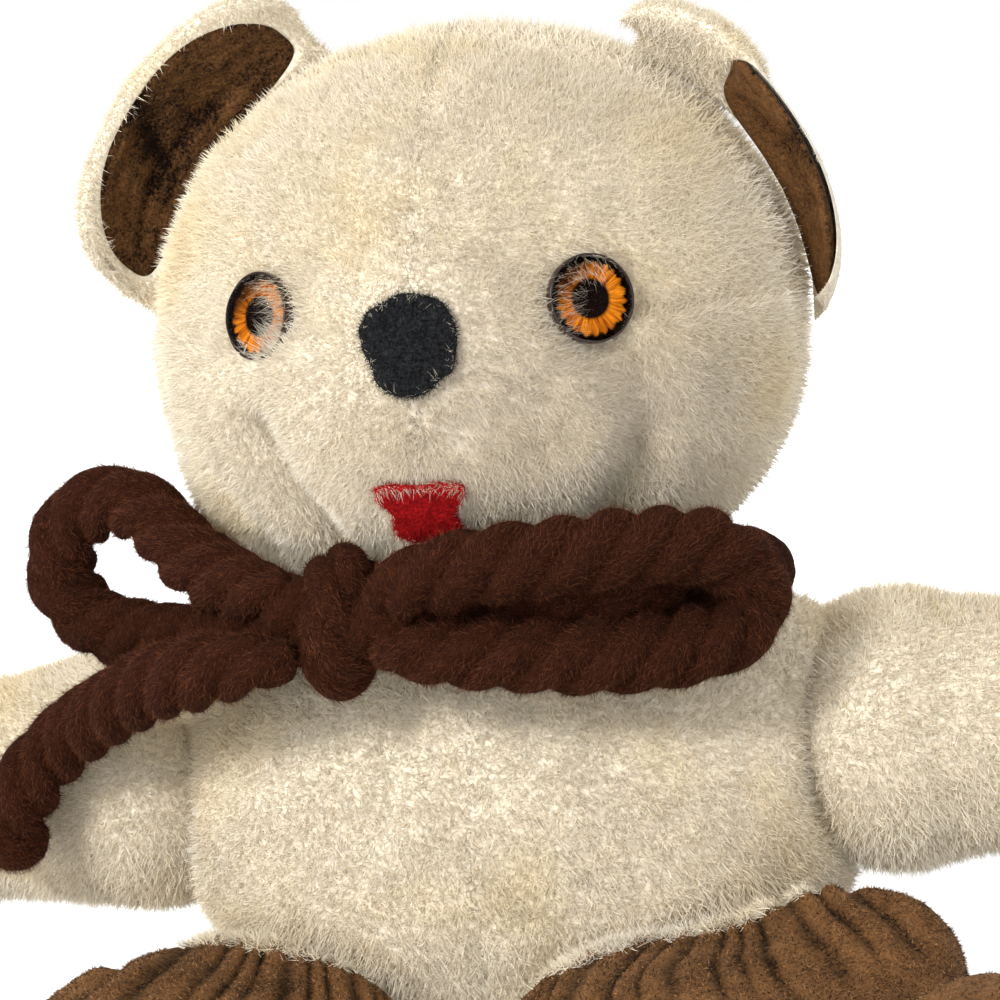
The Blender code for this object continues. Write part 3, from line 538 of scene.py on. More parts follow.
def brown_velvet(tree):
    """Crushed velveteen: the nap lies every way, so that it shows light and dark streaks. The gathers' valleys are
    painted darker as shade.
    """
    place = place_of(tree)
    gather = (named(tree, "wave") * 0.5).do("SINE").do("ABSOLUTE")
    # The gathers' valleys: a dent in the bump, and painted shade in the colour
    valley = spread(gather, 0.10, 0.78, 1.0, 0.0) * named(tree, "gathered")
    streaks = cloud(place, 260.0, 5.0, 0.3, 0.7)
    broad = cloud(place, 75.0, 4.0, 0.4, 0.6)
    speckle = cloud(place, 1100.0, 3.0, 0.5, 0.7)
    # Colour from the nap, with painted shade in the valleys and, through the fold mark, in the ear linings' creases
    nap = (spread(streaks, 0.3, 0.7, 0.0, 0.22) + spread(broad, 0.3, 0.7, 0.0, 0.24)
           + spread(speckle, 0.36, 0.64, 0.0, 0.34)
           + spread(named(tree, "fold") * (1.0 - valley * 0.8), 0.0, 1.0, 0.0, 0.62))
    height = streaks + speckle + cloud(place, 1800.0, 2.0) * 0.6 - valley * 1.6
    return {"Base_Color": mix(spread(nap, 0.46, 1.14), (0.005, 0.0016, 0.0004), (0.270, 0.122, 0.042)),
            "Roughness": spread(nap, 0.4, 0.9, 0.85, 0.5), "Normal": bump(height, 0.9, 1.0 * MM)}


def velvet_nap(tree):
    """The short pile of the velveteen, golden where it catches the light."""
    golden = spread(named(tree, "odd"), 0.3, 1.0)
    return {"Base_Color": mix(golden, (0.016, 0.0055, 0.0014), (0.46, 0.230, 0.088))}


def wool_strand(tree):
    """Loose wool roving: fibres that wind along the strand."""
    uv = flow(tree, "ShaderNodeUVMap", {"uv_map": "strand"})
    drawn = cloud(stretched(uv, (26.0, 2.2, 1.0)), 9.0, 4.0, 0.5, 0.6)
    fibres = use_group(tree, FIBRES, Place=place_of(tree), Fineness=900.0)
    light = spread(drawn * 0.8 + fibres["Mask"] * 0.3, 0.3, 0.85)
    return {"Base_Color": mix(light, (0.012, 0.0028, 0.0010), (0.074, 0.0195, 0.0070)),
            "Normal": bump(drawn + fibres["Height"], 0.9, 0.9 * MM)}


def wool_fuzz(tree):
    return {"Base_Color": mix(named(tree, "odd"), (0.022, 0.0055, 0.0020), (0.160, 0.050, 0.020))}


def matted(dark, light, fineness, strength, depth):
    """A builder for felt or cotton between two colours."""
    def build(tree):
        fibres = use_group(tree, FIBRES, Place=place_of(tree), Fineness=fineness)
        return {"Base_Color": mix(fibres["Mask"], dark, light), "Normal": bump(fibres["Height"], strength, depth)}

    return build


def spun_thread(tree):
    twist = cloud(stretched(place_of(tree), (1.0, 1.0, 2.5)), 1500.0, 2.0)
    return {"Base_Color": mix(twist, (0.5, 0.42, 0.28), (0.8, 0.73, 0.58)), "Normal": bump(twist, 0.8, 0.3 * MM)}


def sunburst(tree):
    """Amber rays of uneven length about a dark pupil, on a dark disc, with a painted shadow across one side and a
    painted glow.
    """
    uv = flow(tree, "ShaderNodeUVMap", {"uv_map": "disc"})
    apart = node(tree, "ShaderNodeSeparateXYZ", None, uv)
    x, y = (Flow(socket) - 0.5 for socket in apart.outputs[:2])
    reach = (x.do("POWER", 2.0) + y.do("POWER", 2.0)).do("SQRT") * 2.0
    turn = y.do("ARCTAN2", x)
    round_way = flow(tree, "ShaderNodeCombineXYZ", None, turn.do("COSINE"), turn.do("SINE"), reach * 0.12)
    rays = cloud(round_way, 9.0, 3.0, 0.0, 0.7)
    ray = rays * 0.6 + cloud(round_way, 26.0, 2.0) * 0.4
    scallop = (turn * 11.0).do("SINE").do("ABSOLUTE")
    edge = scallop * 0.08 + 0.84 + (rays - 0.5) * 0.25
    # The last factor paints a shadow crescent over one side of the iris, as from the lens's rim
    lit = spread(reach, 0.45, 0.53) * spread(edge - reach, 0.0, 0.06) * spread(y - x, 0.20, 0.50, 1.0, 0.12)
    amber = mix(spread(ray, 0.38, 0.60), (0.20, 0.020, 0.001), (0.95, 0.29, 0.008))
    amber = mix(spread(ray, 0.60, 0.68), amber, (1.0, 0.56, 0.045))
    # The amber also glows by emission: painted light that stands in for the lamp light the lens keeps off it
    return {"Base_Color": mix(lit, (0.007, 0.0015, 0.0008), amber), "Normal": bump(ray, 0.4, 0.3 * MM),
            "Emission_Color": mix(lit, (0.0, 0.0, 0.0), mix(0.65, amber, (0, 0, 0)))}


def clear_lens(tree):
    place = place_of(tree)
    scratches = cloud(stretched(place, (1.0, 1.0, 5.0)), 500.0, 2.0)
    return {"Roughness": spread(scratches, 0.5, 0.8, 0.02, 0.10),
            "Normal": bump(cloud(place, 120.0, 1.0), 0.05, 0.2 * MM)}


def worn_hard(scale, dark, light, low, high, smooth, rough):
    """A builder for plastic or steel that wear has dulled in places."""
    def build(tree):
        worn = cloud(place_of(tree), scale, 3.0)
        return {"Base_Color": mix(worn, dark, light), "Roughness": spread(worn, low, high, smooth, rough)}

    return build


def look_list():
    finishes = {
        "cream_fur": ("cream_fur", cream_fur, dict(Sheen_Weight=0.25, Sheen_Roughness=0.4)),
        "cream_backing": ("cream_backing", cream_backing, dict(Roughness=0.85, Sheen_Weight=0.3)),
        "velvet": ("brown_velveteen", brown_velvet, dict(
            Sheen_Weight=0.08, Sheen_Roughness=0.3, Sheen_Tint=(0.9, 0.5, 0.22, 1), Specular_IOR_Level=0.1)),
        "nap": ("velveteen_nap", velvet_nap, dict(Roughness=0.55, Specular_IOR_Level=0.3)),
        "wool": ("brown_wool_roving", wool_strand, dict(Roughness=0.95, Specular_IOR_Level=0.1)),
        "fuzz": ("wool_fuzz", wool_fuzz, dict(Roughness=0.8, Specular_IOR_Level=0.15)),
        "black_felt": ("black_felt", matted((0.0010, 0.0011, 0.0013), (0.034, 0.035, 0.038), 1500.0, 1.0, 0.9 * MM),
                       dict(Roughness=0.95, Specular_IOR_Level=0.15)),
        "red_felt": ("red_felt", matted((0.20, 0.003, 0.005), (0.56, 0.013, 0.014), 1500.0, 1.0, 0.9 * MM),
                     dict(Roughness=0.95, Specular_IOR_Level=0.1)),
        "cotton": ("cotton_stuffing", matted((0.55, 0.5, 0.4), (0.8, 0.76, 0.66), 500.0, 0.8, 1.0 * MM),
                   dict(Roughness=0.95, Sheen_Weight=0.2)),
        "thread": ("cream_thread", spun_thread, dict(Roughness=0.7)),
        # Emission makes the iris glow: painted light
        "iris": ("sunburst_iris", sunburst, dict(Roughness=0.35, Specular_IOR_Level=0.05, Emission_Strength=0.85)),
        "lens": ("clear_lens", clear_lens, dict(Transmission_Weight=1.0, IOR=1.05, Specular_IOR_Level=0.5)),
        "rim": ("dark_plastic", worn_hard(600.0, (0.006, 0.002, 0.001), (0.040, 0.011, 0.004), 0.3, 0.8, 0.15, 0.4),
                {}),
        "steel": ("steel_washer", worn_hard(900.0, (0.42, 0.40, 0.37), (0.66, 0.65, 0.63), 0.3, 0.7, 0.25, 0.55),
                  dict(Metallic=1.0)),
    }
    return {look: finish_material(name, build, **constants) for look, (name, build, constants) in finishes.items()}


LOOKS = look_list()


# Fur, fuzz and stitches, made by Geometry Nodes

# Each kind of hair: hairs to a square metre, length, width, lean, size of its tufts, and material
HAIR = {
    "head front": (3.5e6, 5.0 * MM, 0.26 * MM, 0.8, 7 * MM, "cream_fur"),
    "head back": (0.8e6, 5.0 * MM, 0.60 * MM, 0.8, 7 * MM, "cream_fur"),
    "body front": (2.15e6, 4.3 * MM, 0.32 * MM, 0.9, 8 * MM, "cream_fur"),
    "body back": (0.6e6, 4.3 * MM, 0.66 * MM, 0.9, 8 * MM, "cream_fur"),
    "belly over leg": (3.2e6, 4.0 * MM, 0.30 * MM, 0.9, 6 * MM, "cream_fur"),
    "face over felt": (6.0e6, 2.7 * MM, 0.14 * MM, 1.0, 4 * MM, "cream_fur"),
    "arm": (1.9e6, 4.6 * MM, 0.34 * MM, 0.8, 8 * MM, "cream_fur"),
    "ear": (2.8e6, 3.6 * MM, 0.30 * MM, 0.9, 7 * MM, "cream_fur"),
    "leg": (1.2e6, 1.3 * MM, 0.28 * MM, 1.6, 6 * MM, "nap"),
    "black_felt": (5.0e6, 2.0 * MM, 0.16 * MM, 1.5, 3 * MM, "black_felt"),
    "red_felt": (5.0e6, 2.0 * MM, 0.16 * MM, 1.5, 3 * MM, "red_felt"),
    "wool": (1.8e6, 2.4 * MM, 0.14 * MM, 1.4, 3 * MM, "fuzz"),
}
# How far hairs lean by broad and by narrow tufts, and each by itself
BROAD_TUFTS, NARROW_TUFTS, NARROWER, OWN_LEAN = 1.5, 1.7, 2.7, 1.25


def attribute(tree, name, kind="FLOAT"):
    return flow(tree, "GeometryNodeInputNamedAttribute", {"data_type": kind}, output="Attribute", Name=name)


def as_mesh(instances, look):
    """Instances as real geometry of one material."""
    real = flow(instances.tree, "GeometryNodeRealizeInstances", Geometry=instances)
    return flow(instances.tree, "GeometryNodeSetMaterial", Geometry=real, Material=look)


def hair_tree():
    """Tapering hairs that grow on a skin, lie in tufts and vary in length."""
    tree, given = new_tree(
        "hairs_on_a_skin", "Geometry",
        (("Skin", "Geometry", None), ("Density", "Float", 1.0e6), ("Length", "Float", 6 * MM),
         ("Width", "Float", 0.6 * MM), ("Lean", "Float", 0.8), ("Tuft size", "Float", 12 * MM),
         ("Comb", "Vector", (0.0, 0.0, 0.0)), ("Seed", "Int", 1), ("Look", "Material", None)),
        (("Fur", "Geometry"),))
    position = flow(tree, "GeometryNodeInputPosition")

    def vector(how, a, b):
        made = node(tree, "ShaderNodeVectorMath", {"operation": how}, a)
        wire(tree, b, made.inputs["Scale" if how == "SCALE" else 1])
        return Flow(made.outputs[0])

    def random(low, high, seed, kind="FLOAT"):
        made = node(tree, "FunctionNodeRandomValue", {"data_type": kind}, Seed=given["Seed"] + seed)
        first, output = (0, 0) if kind == "FLOAT_VECTOR" else (2, 1)
        made.inputs[first].default_value, made.inputs[first + 1].default_value = low, high
        return Flow(made.outputs[output])

    def tuft_lean(share, fineness):
        scale = flow(tree, "ShaderNodeMath", {"operation": "DIVIDE"}, fineness, given["Tuft size"])
        clumps = flow(tree, "ShaderNodeTexNoise", output="Color", Vector=position, Scale=scale, Detail=1.0)
        return vector("SCALE", vector("SUBTRACT", clumps, (0.5, 0.5, 0.5)), share)

    def stored(geometry, domain, name, value):
        return flow(tree, "GeometryNodeStoreNamedAttribute", {"data_type": "FLOAT", "domain": domain},
                    Geometry=geometry, Name=name, Value=value)

    spots = node(tree, "GeometryNodeDistributePointsOnFaces", Mesh=given["Skin"],
                 Density=given["Density"] * attribute(tree, "grow"), Seed=given["Seed"])
    tuft = vector("ADD", tuft_lean(BROAD_TUFTS, 1.0), tuft_lean(NARROW_TUFTS, NARROWER))
    own = random((-OWN_LEAN,) * 3, (OWN_LEAN,) * 3, 3, "FLOAT_VECTOR")
    lean = vector("ADD", vector("ADD", tuft, given["Comb"]), own)
    lean = vector("ADD", lean, attribute(tree, "comb", "FLOAT_VECTOR"))
    way = vector("ADD", Flow(spots.outputs["Normal"]), vector("SCALE", lean, given["Lean"]))
    turn = flow(tree, "FunctionNodeAlignRotationToVector", {"axis": "Z"}, Vector=way)
    cone = flow(tree, "GeometryNodeMeshCone", {"fill_type": "NONE"}, Vertices=3, Radius_Top=0.0, Radius_Bottom=0.5,
                Depth=1.0)
    hair = stored(cone, "POINT", "along", flow(tree, "ShaderNodeSeparateXYZ", None, position, output="Z"))
    long = given["Length"] * (random(0.55, 1.15, 5) * attribute(tree, "pile"))
    wide = given["Width"] * random(0.7, 1.3, 6)
    grown = flow(tree, "GeometryNodeInstanceOnPoints", Points=Flow(spots.outputs["Points"]), Instance=hair,
                 Rotation=turn, Scale=flow(tree, "ShaderNodeCombineXYZ", None, wide, wide, long))
    node(tree, "NodeGroupOutput", Fur=as_mesh(stored(grown, "INSTANCE", "odd", random(0.0, 1.0, 9)), given["Look"]))
    return tree


def stitch_tree():
    """Stitches of thread set along a seam line."""
    tree, given = new_tree(
        "stitches_along_a_seam", "Geometry",
        (("Seam", "Geometry", None), ("Spacing", "Float", 4.6 * MM), ("Stitch length", "Float", 7.5 * MM),
         ("Thread radius", "Float", 0.7 * MM), ("Look", "Material", None)),
        (("Stitches", "Geometry"),))
    radius = given["Thread radius"]

    def corner(x, z):
        return flow(tree, "ShaderNodeCombineXYZ", None, x, 0.0, z)

    line = flow(tree, "GeometryNodeMeshToCurve", Mesh=given["Seam"])
    spots = flow(tree, "GeometryNodeResampleCurve", {"mode": "LENGTH"}, Curve=line, Length=given["Spacing"])
    points = flow(tree, "GeometryNodeCurveToPoints", {"mode": "EVALUATED"}, output="Points", Curve=spots)
    start, end = (corner(given["Stitch length"] * share, radius * -1.6) for share in (-0.5, 0.5))
    arc = flow(tree, "GeometryNodeCurveArc", {"mode": "POINTS"}, Resolution=9, Start=start,
               Middle=corner(0.0, radius * 0.9), End=end)
    round_line = flow(tree, "GeometryNodeCurvePrimitiveCircle", Resolution=8, Radius=radius)
    thread = flow(tree, "GeometryNodeCurveToMesh", Curve=arc, Profile_Curve=round_line, Fill_Caps=True)
    outwards = attribute(tree, "outwards", "FLOAT_VECTOR")
    turn = flow(tree, "FunctionNodeAlignRotationToVector", {"axis": "Z"}, Vector=outwards)
    slant = flow(tree, "FunctionNodeRotateRotation", {"rotation_space": "LOCAL"}, Rotation=turn,
                 Rotate_By=(0.0, 0.0, radians(24)))
    set_on = flow(tree, "GeometryNodeInstanceOnPoints", Points=points, Instance=thread, Rotation=slant)
    node(tree, "NodeGroupOutput", Stitches=as_mesh(set_on, given["Look"]))
    return tree


HAIRS, STITCHES = hair_tree(), stitch_tree()


def plain_mesh(obj, name):
    """What the object's modifiers make, as a plain mesh of its own."""
    graph = bpy.context.evaluated_depsgraph_get()
    mesh = bpy.data.meshes.new_from_object(obj.evaluated_get(graph), preserve_all_data_layers=True, depsgraph=graph)
    mesh.name = name
    return add_object(name, mesh)


def made_by(tree, obj, name, **settings):
    """What a node tree makes of an object, as a piece of its own. The object keeps its own mesh."""
    modifier = obj.modifiers.new("nodes", "NODES")
    modifier.node_group = tree
    for item in tree.interface.items_tree:
        key = item.name.lower().replace(" ", "_")
        if item.in_out == "INPUT" and key in settings:
            modifier[item.identifier] = settings[key]
    made = plain_mesh(obj, name)
    obj.modifiers.remove(modifier)
    return made


def grow(skin, name, kind, seed, comb=(0, 0, 0)):
    """Hair of a kind on a skin that mark_hair has marked."""
    density, length, width, lean, tuft_size, look = HAIR[kind]
    return made_by(HAIRS, skin, name, density=density, length=length, width=width, lean=lean, tuft_size=tuft_size,
                   comb=comb, seed=seed, look=LOOKS[look])


def grow_in_parts(skin, name, grows, parts, seed, comb=(0, 0, 0)):
    """Hair in several pieces, from (word, kind, which points) for each."""
    made = []
    for word, kind, keep in parts:
        mark(skin, "grow", grows * keep)
        made.append(grow(skin, f"{name}_{word}", kind, seed, comb))
    return made


# Head

EYE_OUT, EYE_ELEVATION = 45.5 * MM, 7 * MM / HEAD_HALF[2]
NOSE_ELEVATION = -0.5 * MM / HEAD_HALF[2]
MOUTH_ELEVATION = -47 * MM / (HEAD_HALF[2] + MUZZLE_RISE)
NOSE_AT, MOUTH_AT = head_skin_point(0, NOSE_ELEVATION), head_skin_point(0, MOUTH_ELEVATION)
JAW_CREASE = ((-49.5, -81.3, 203), (-45.3, -79.9, 190.4), (-38.8, -76.6, 178.8), (-31.8, -69.5, 167.8))
CHEEK_VALLEY = ((44, -86, 226), (56, -78.6, 212.3), (58.6, -74.3, 201.2), (54.7, -71.6, 187.7), (46, -70, 176))
BRIDGE_FOLD = ((30, -88, 246), (36, -83, 258), (34, -76, 270))
# The head's creases and bumps: how high in millimetres, where, and how wide in millimetres
FACE_CREASES = ((-9.0, JAW_CREASE, 7.5), (-5.6, CHEEK_VALLEY, 9), (-1.4, BRIDGE_FOLD, 8))
WORN_SPOT = np.array((11.4, -97.7, 201.8)) * MM
FACE_BUMPS = ((9.0, np.array((-74, -20, 168)) * MM, 22), (-1.0, WORN_SPOT, 5))
# The face's hair lies away from this place between the eyes
PARTING = np.array((0, -90, 222)) * MM
LIP_AT = MOUTH_AT + np.array((0, 0, 12 * MM))


def eye_seat(side):
    """Where an eye sits on the face, and the way it looks."""
    azimuth = side * halved(0.0, pi / 2, lambda turn: head_skin_point(turn, EYE_ELEVATION)[0] >= EYE_OUT, 30)
    return head_skin_point(azimuth, EYE_ELEVATION), head_skin_normal(azimuth, EYE_ELEVATION)


def away_from(points, place):
    return np.linalg.norm(points - place, axis=1)


def head_swell(points):
    """How far the head stands out from an even egg, in millimetres."""
    swell = 1.6 * lumps(points, 30 * MM, 1) + 0.7 * lumps(points, 10 * MM, 2) - FUR_ROOM / MM
    for height, route, width in FACE_CREASES:
        swell += height * crease(points, in_metres(route), width * MM)
    for height, centre, radius in FACE_BUMPS:
        swell += height * bump_at(points, centre, radius * MM)
    for side, _ in SIDES:
        swell -= 2.6 * bump_at(points, eye_seat(side)[0], 13 * MM)
    for centre in (NOSE_AT, MOUTH_AT):
        swell *= 1 - bump_at(points, centre, 17 * MM)
    return swell


def face_hair(points):
    """Where the head's hair grows, how long it is and how it lies."""
    from_nose, from_mouth = away_from(points, NOSE_AT), away_from(points, MOUTH_AT)
    mouth_off = (points - MOUTH_AT - np.array((0, 0, 1.5 * MM))) / np.array((14 * MM, 20 * MM, 12.5 * MM))
    worn = bump_at(points, WORN_SPOT, 4.5 * MM)
    grows = smooth_step(from_nose, 10.2 * MM, 12.0 * MM) * (1 - 0.8 * worn)
    grows *= smooth_step(np.linalg.norm(mouth_off, axis=1), 0.70, 0.86)
    pile = 0.92 + 0.22 * lumps(points, 14 * MM, 5)
    pile *= 0.6 + 0.4 * smooth_step(from_nose, 12 * MM, 24 * MM)
    pile *= 0.75 + 0.25 * smooth_step(from_mouth, 12 * MM, 22 * MM)
    pile *= (1 - 0.5 * worn) * (1 - 0.15 * smooth_step(-points[:, 1], 20 * MM, 80 * MM))
    lie = (points - PARTING) / away_from(points, PARTING)[:, None] * 0.35
    for side, _ in SIDES:
        seat, _ = eye_seat(side)
        near = away_from(points, seat)
        grows *= smooth_step(near, 10.6 * MM, 11.6 * MM)
        inner_way = np.array((-side * 0.85, 0, 0.5 if side > 0 else 0.1))
        lid = smooth_step(19 * MM - near, 0, 7 * MM) * smooth_step((points - seat) @ inner_way, -3 * MM, 5 * MM)
        lie = lie * (1 - lid)[:, None] + (seat - points) / near[:, None] * (1.7 * lid)[:, None]
        pile *= 1 + 1.5 * lid
    over_lip = bump_at(points, LIP_AT, 7 * MM)
    lie -= np.outer(over_lip, (0, 0.6, 2.0))
    return grows, pile * (1 + 0.9 * over_lip), lie


def make_head():
    ways, faces = globe_directions(6)
    points = HEAD + ways * head_reach(ways)[:, None]
    points = points + ways * head_swell(points)[:, None] * MM
    across = np.hypot(points[:, 0] - NECK[0], points[:, 1] - NECK[1])
    room = NECK_RADIUS + 4 * MM
    dome = NECK[2] + np.sqrt(np.maximum(room**2 - across**2, 0))
    hollow = (across < room) & (points[:, 2] < dome)
    points[:, 2] = np.where(hollow, dome, points[:, 2])
    skin = piece("head_cover_plush", points, faces, "cream_backing")
    grows, pile, lie = face_hair(points)
    mark_hair(skin, grows, pile, lie)
    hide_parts("head_cover")
    front, left = points[:, 1] < -30 * MM, points[:, 0] >= 0
    parts = (("front_left", "head front", front & left), ("front_right", "head front", front & ~left),
             ("back_left", "head back", ~front & left), ("back_right", "head back", ~front & ~left))
    fur = grow_in_parts(skin, "head_fur", grows * ~hollow, parts, 11, (0, 0, -0.15))
    drop_marks(skin)
    settle("head", "cream_plush", skin, *fur)


# Nose and mouth

FELT_THICKNESS, FELT_RINGS = 2 * MM, 16
# How much of the face's fur lies over the felt: all round, and more along the mouth's top
FUR_OVER_NOSE, FUR_OVER_MOUTH, FUR_OVER_LIP = 0.16, 0.18, 0.5
# Points right of and above the middle, in fiftieths of its half width of 13 mm
NOSE_OUTLINE = (
    (-52, 17), (-42, 35), (-27, 42), (-8, 51), (14, 49), (33, 42), (45, 25), (49, 6), (46, -14),
    (41, -30), (31, -33), (22, -43), (10, -49), (-6, -50), (-24, -45), (-35, -33), (-37, -20), (-47, -4),
)
NOSE_SCALE = 13 * MM / 50
# The right half of the mouth from its top, in shares of its width and height
MOUTH_HALF = (
    (0.00, 0.47), (0.30, 0.50), (0.50, 0.44), (0.50, 0.26), (0.38, 0.10),
    (0.34, 0.00), (0.40, -0.16), (0.40, -0.34), (0.24, -0.48),
)
MOUTH_WIDTH, MOUTH_HEIGHT, MOUTH_LOWEST, MOUTH_SHIFT = 23 * MM, 20 * MM, -10 * MM, 1.2 * MM


def rounded_outline(outline, steps=8):
    """Closely spaced points along an outline, with its corners eased."""
    fine = [here + (after - here) * k / steps for here, after in zip(outline, np.roll(outline, -1, axis=0))
            for k in range(steps)]
    for _ in range(3):
        fine = (np.roll(fine, 1, axis=0) + 2 * np.array(fine) + np.roll(fine, -1, axis=0)) / 4
    return fine


def felt_piece(name, look, elevation, outline, lift, edge_round, node_name, overlap):
    """A cut felt shape that lies on the face, from an outline of (right, up) points about its middle."""
    arm = np.linalg.norm(head_skin_point(0, elevation) - HEAD)
    fine = rounded_outline(np.array(outline))
    tops, backs = [], []
    for k in range(1, FELT_RINGS + 1):
        share = k / FELT_RINGS
        flat = fine * share
        ways = direction(flat[:, 0] / (arm * cos(elevation)), elevation + flat[:, 1] / arm)
        skin = head_reach(ways)
        rim = max((share - edge_round) / (1 - edge_round), 0)
        face = lift + FELT_THICKNESS * (0.5 + 0.5 * sqrt(max(1 - rim**2, 0)))
        ripple = lumps(HEAD + ways * skin[:, None], 3 * MM, 3, 4) * 0.5 * MM
        tops.append(HEAD + ways * (skin + face + ripple)[:, None])
        backs.append(HEAD + ways * (skin + lift)[:, None])
    way = direction(np.array([0.0]), np.array([elevation]))
    reach = head_reach(way)[0]
    top, back = HEAD + way[0] * (reach + lift + FELT_THICKNESS), HEAD + way[0] * (reach + lift)
    points, faces = loft(tops + backs[::-1], top, back)
    made = face_outwards(piece(name, points, faces, look))
    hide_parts(node_name)
    mark_hair(made)
    settle("head", look, made, grow(made, name + "_fluff", look, 5))
    settle("head", "cream_plush", fur_over_felt(made, name, way[0], np.array([overlap(x, y) for x, y in fine])))
    drop_marks(made)


def fur_over_felt(felt, name, face_way, overlap):
    """The face's fur that lies over the edge of a felt piece."""
    points = points_of(felt)
    shares = np.repeat(np.arange(1, FELT_RINGS + 1) / FELT_RINGS, len(overlap))
    grows = np.zeros(len(points))
    grows[:len(shares)] = smooth_step(shares, 0.84, 0.98) * np.tile(overlap, FELT_RINGS)
    inwards = points.mean(axis=0) - points
    inwards /= np.maximum(np.linalg.norm(inwards, axis=1), 1e-6)[:, None]
    mark_hair(felt, grows, comb=inwards * 1.5 + face_way * 0.8)
    return grow(felt, f"{name}_fur_over", "face over felt", 29)


def make_face():
    nose = [(x * NOSE_SCALE, y * NOSE_SCALE) for x, y in NOSE_OUTLINE]
    felt_piece("nose_cut_felt", "black_felt", NOSE_ELEVATION, nose, 0.3 * MM, 0.88, "nose_felt",
               lambda x, y: FUR_OVER_NOSE)
    right = [(x * MOUTH_WIDTH, y * MOUTH_HEIGHT) for x, y in MOUTH_HALF]
    left = [(-x, y) for x, y in reversed(right[1:])]
    mouth = [(x - MOUTH_SHIFT, y) for x, y in right + [(0.0, MOUTH_LOWEST)] + left]
    felt_piece("mouth_cut_felt", "red_felt", MOUTH_ELEVATION, mouth, 0.6 * MM, 0.86, "mouth_felt",
               lambda x, y: FUR_OVER_MOUTH + FUR_OVER_LIP * (y > 5 * MM))


# Eyes

EYE_SINK, EYE_RADIUS = 2.6 * MM, 11.8 * MM
CUP_RADIUS = EYE_RADIUS - 0.6 * MM
IRIS_RADIUS = CUP_RADIUS - 0.4 * MM
# The cup with its shank, and the iris: radius and height above the seat
CUP_PROFILE = (
    (2.2 * MM, -11.6 * MM), (2.2 * MM, -1.6 * MM), (CUP_RADIUS, -1.6 * MM), (EYE_RADIUS, -0.6 * MM),
    (EYE_RADIUS, 2.4 * MM), (CUP_RADIUS - 0.1 * MM, 2.4 * MM), (CUP_RADIUS, 0.0), (0.5 * MM, 0.0),
)
IRIS_PROFILE = (
    (IRIS_RADIUS, 0.3 * MM), (IRIS_RADIUS, 1.0 * MM), (IRIS_RADIUS * 0.72, 0.92 * MM),
    (IRIS_RADIUS * 0.42, 0.75 * MM), (IRIS_RADIUS * 0.36, 0.7 * MM), (IRIS_RADIUS * 0.1, 0.7 * MM),
)
LENS_BASE, LENS_EDGE, LENS_RISE, LENS_STEPS = 1.3 * MM, 0.9 * MM, 5 * MM, 20


def turned(name, profile, centre, way, sides, look):
    """A smooth solid turned about way, from (radius, height) points, and the two ways across it."""
    way = Vector(way)
    across = Vector((0, 0, 1)).cross(way).normalized()
    up = way.cross(across)
    turns = [2 * pi * i / sides for i in range(sides)]
    rings = [[np.array(Vector(centre) + way * h + (across * cos(t) + up * sin(t)) * r) for t in turns]
             for r, h in profile]
    first = np.array(Vector(centre) + way * profile[0][1])
    last = np.array(Vector(centre) + way * profile[-1][1])
    return face_outwards(piece(name, *loft(rings, first, last), look)), across, up


def round_profile(corners, radius, steps=5):
    """A profile whose inner corners are rounded."""
    corners = [np.array(c, float) for c in corners]
    found = [corners[0]]
    for before, here, after in zip(corners, corners[1:], corners[2:]):
        back, on = before - here, after - here
        cut = min(radius, np.linalg.norm(back) * 0.45, np.linalg.norm(on) * 0.45)
        start = here + back / np.linalg.norm(back) * cut
        end = here + on / np.linalg.norm(on) * cut
        for k in range(steps + 1):
            t = k / steps
            found.append((1 - t) ** 2 * start + 2 * t * (1 - t) * here + t**2 * end)
    found.append(corners[-1])
    return [tuple(p) for p in found]


def make_eye(side, word):
    seat, way = eye_seat(side)
    centre = seat - way * EYE_SINK
    cup, _, _ = turned(f"eye_{word}_cup", round_profile(CUP_PROFILE, 0.5 * MM), centre, way, 72, "rim")
    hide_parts(f"eye_{word}_backing")
    disc, across, up = turned(f"eye_{word}_sunburst", IRIS_PROFILE, centre, way, 96, "iris")
    layer = disc.data.uv_layers.new(name="disc")
    for loop in disc.data.loops:
        off = disc.data.vertices[loop.vertex_index].co - Vector(centre)
        layer.data[loop.index].uv = (0.5 + off.dot(across) / IRIS_RADIUS / 2, 0.5 + off.dot(up) / IRIS_RADIUS / 2)
    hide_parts(f"eye_{word}_iris")
    lens = [(IRIS_RADIUS - 0.1 * MM, LENS_BASE), (IRIS_RADIUS, LENS_BASE + 0.2 * MM)]
    for k in range(LENS_STEPS):
        turn = pi / 2 * k / LENS_STEPS
        lens.append((IRIS_RADIUS * cos(turn), LENS_BASE + LENS_EDGE + LENS_RISE * sin(turn)))
    glass, _, _ = turned(f"eye_{word}_dome", lens, centre, way, 72, "lens")
    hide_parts(f"eye_{word}_lens")
    for obj, slot in ((cup, "dark_plastic"), (disc, "sunburst_iris"), (glass, "amber_lens")):
        settle("head", slot, obj)
    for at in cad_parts[f"eye_{word}_washer"].material_slots:
        at.material = LOOKS["steel"]


# Body

# How each leg sits under the belly: its roll, how deep its top sinks, and how far its two sides bulge
LEG_ROLLS = {1: LEG_ROLL + radians(3), -1: LEG_ROLL - radians(11)}
LEG_SINK = {1: 8 * MM, -1: 9 * MM}
LEG_INNER_PUFF = {1: 27 * MM, -1: 6 * MM}
LEG_OUTER_LIFT = {1: 9.0, -1: 0.0}
SHOULDER_MOUND, SHOULDER_MOUND_RADIUS = 20.0, 21 * MM
# How much longer, how much more downwards and how much more forwards the fur lies just above a leg
FRINGE_LONGER, FRINGE_DOWN, FRINGE_FORWARDS = 1.5, 1.1, 1.0


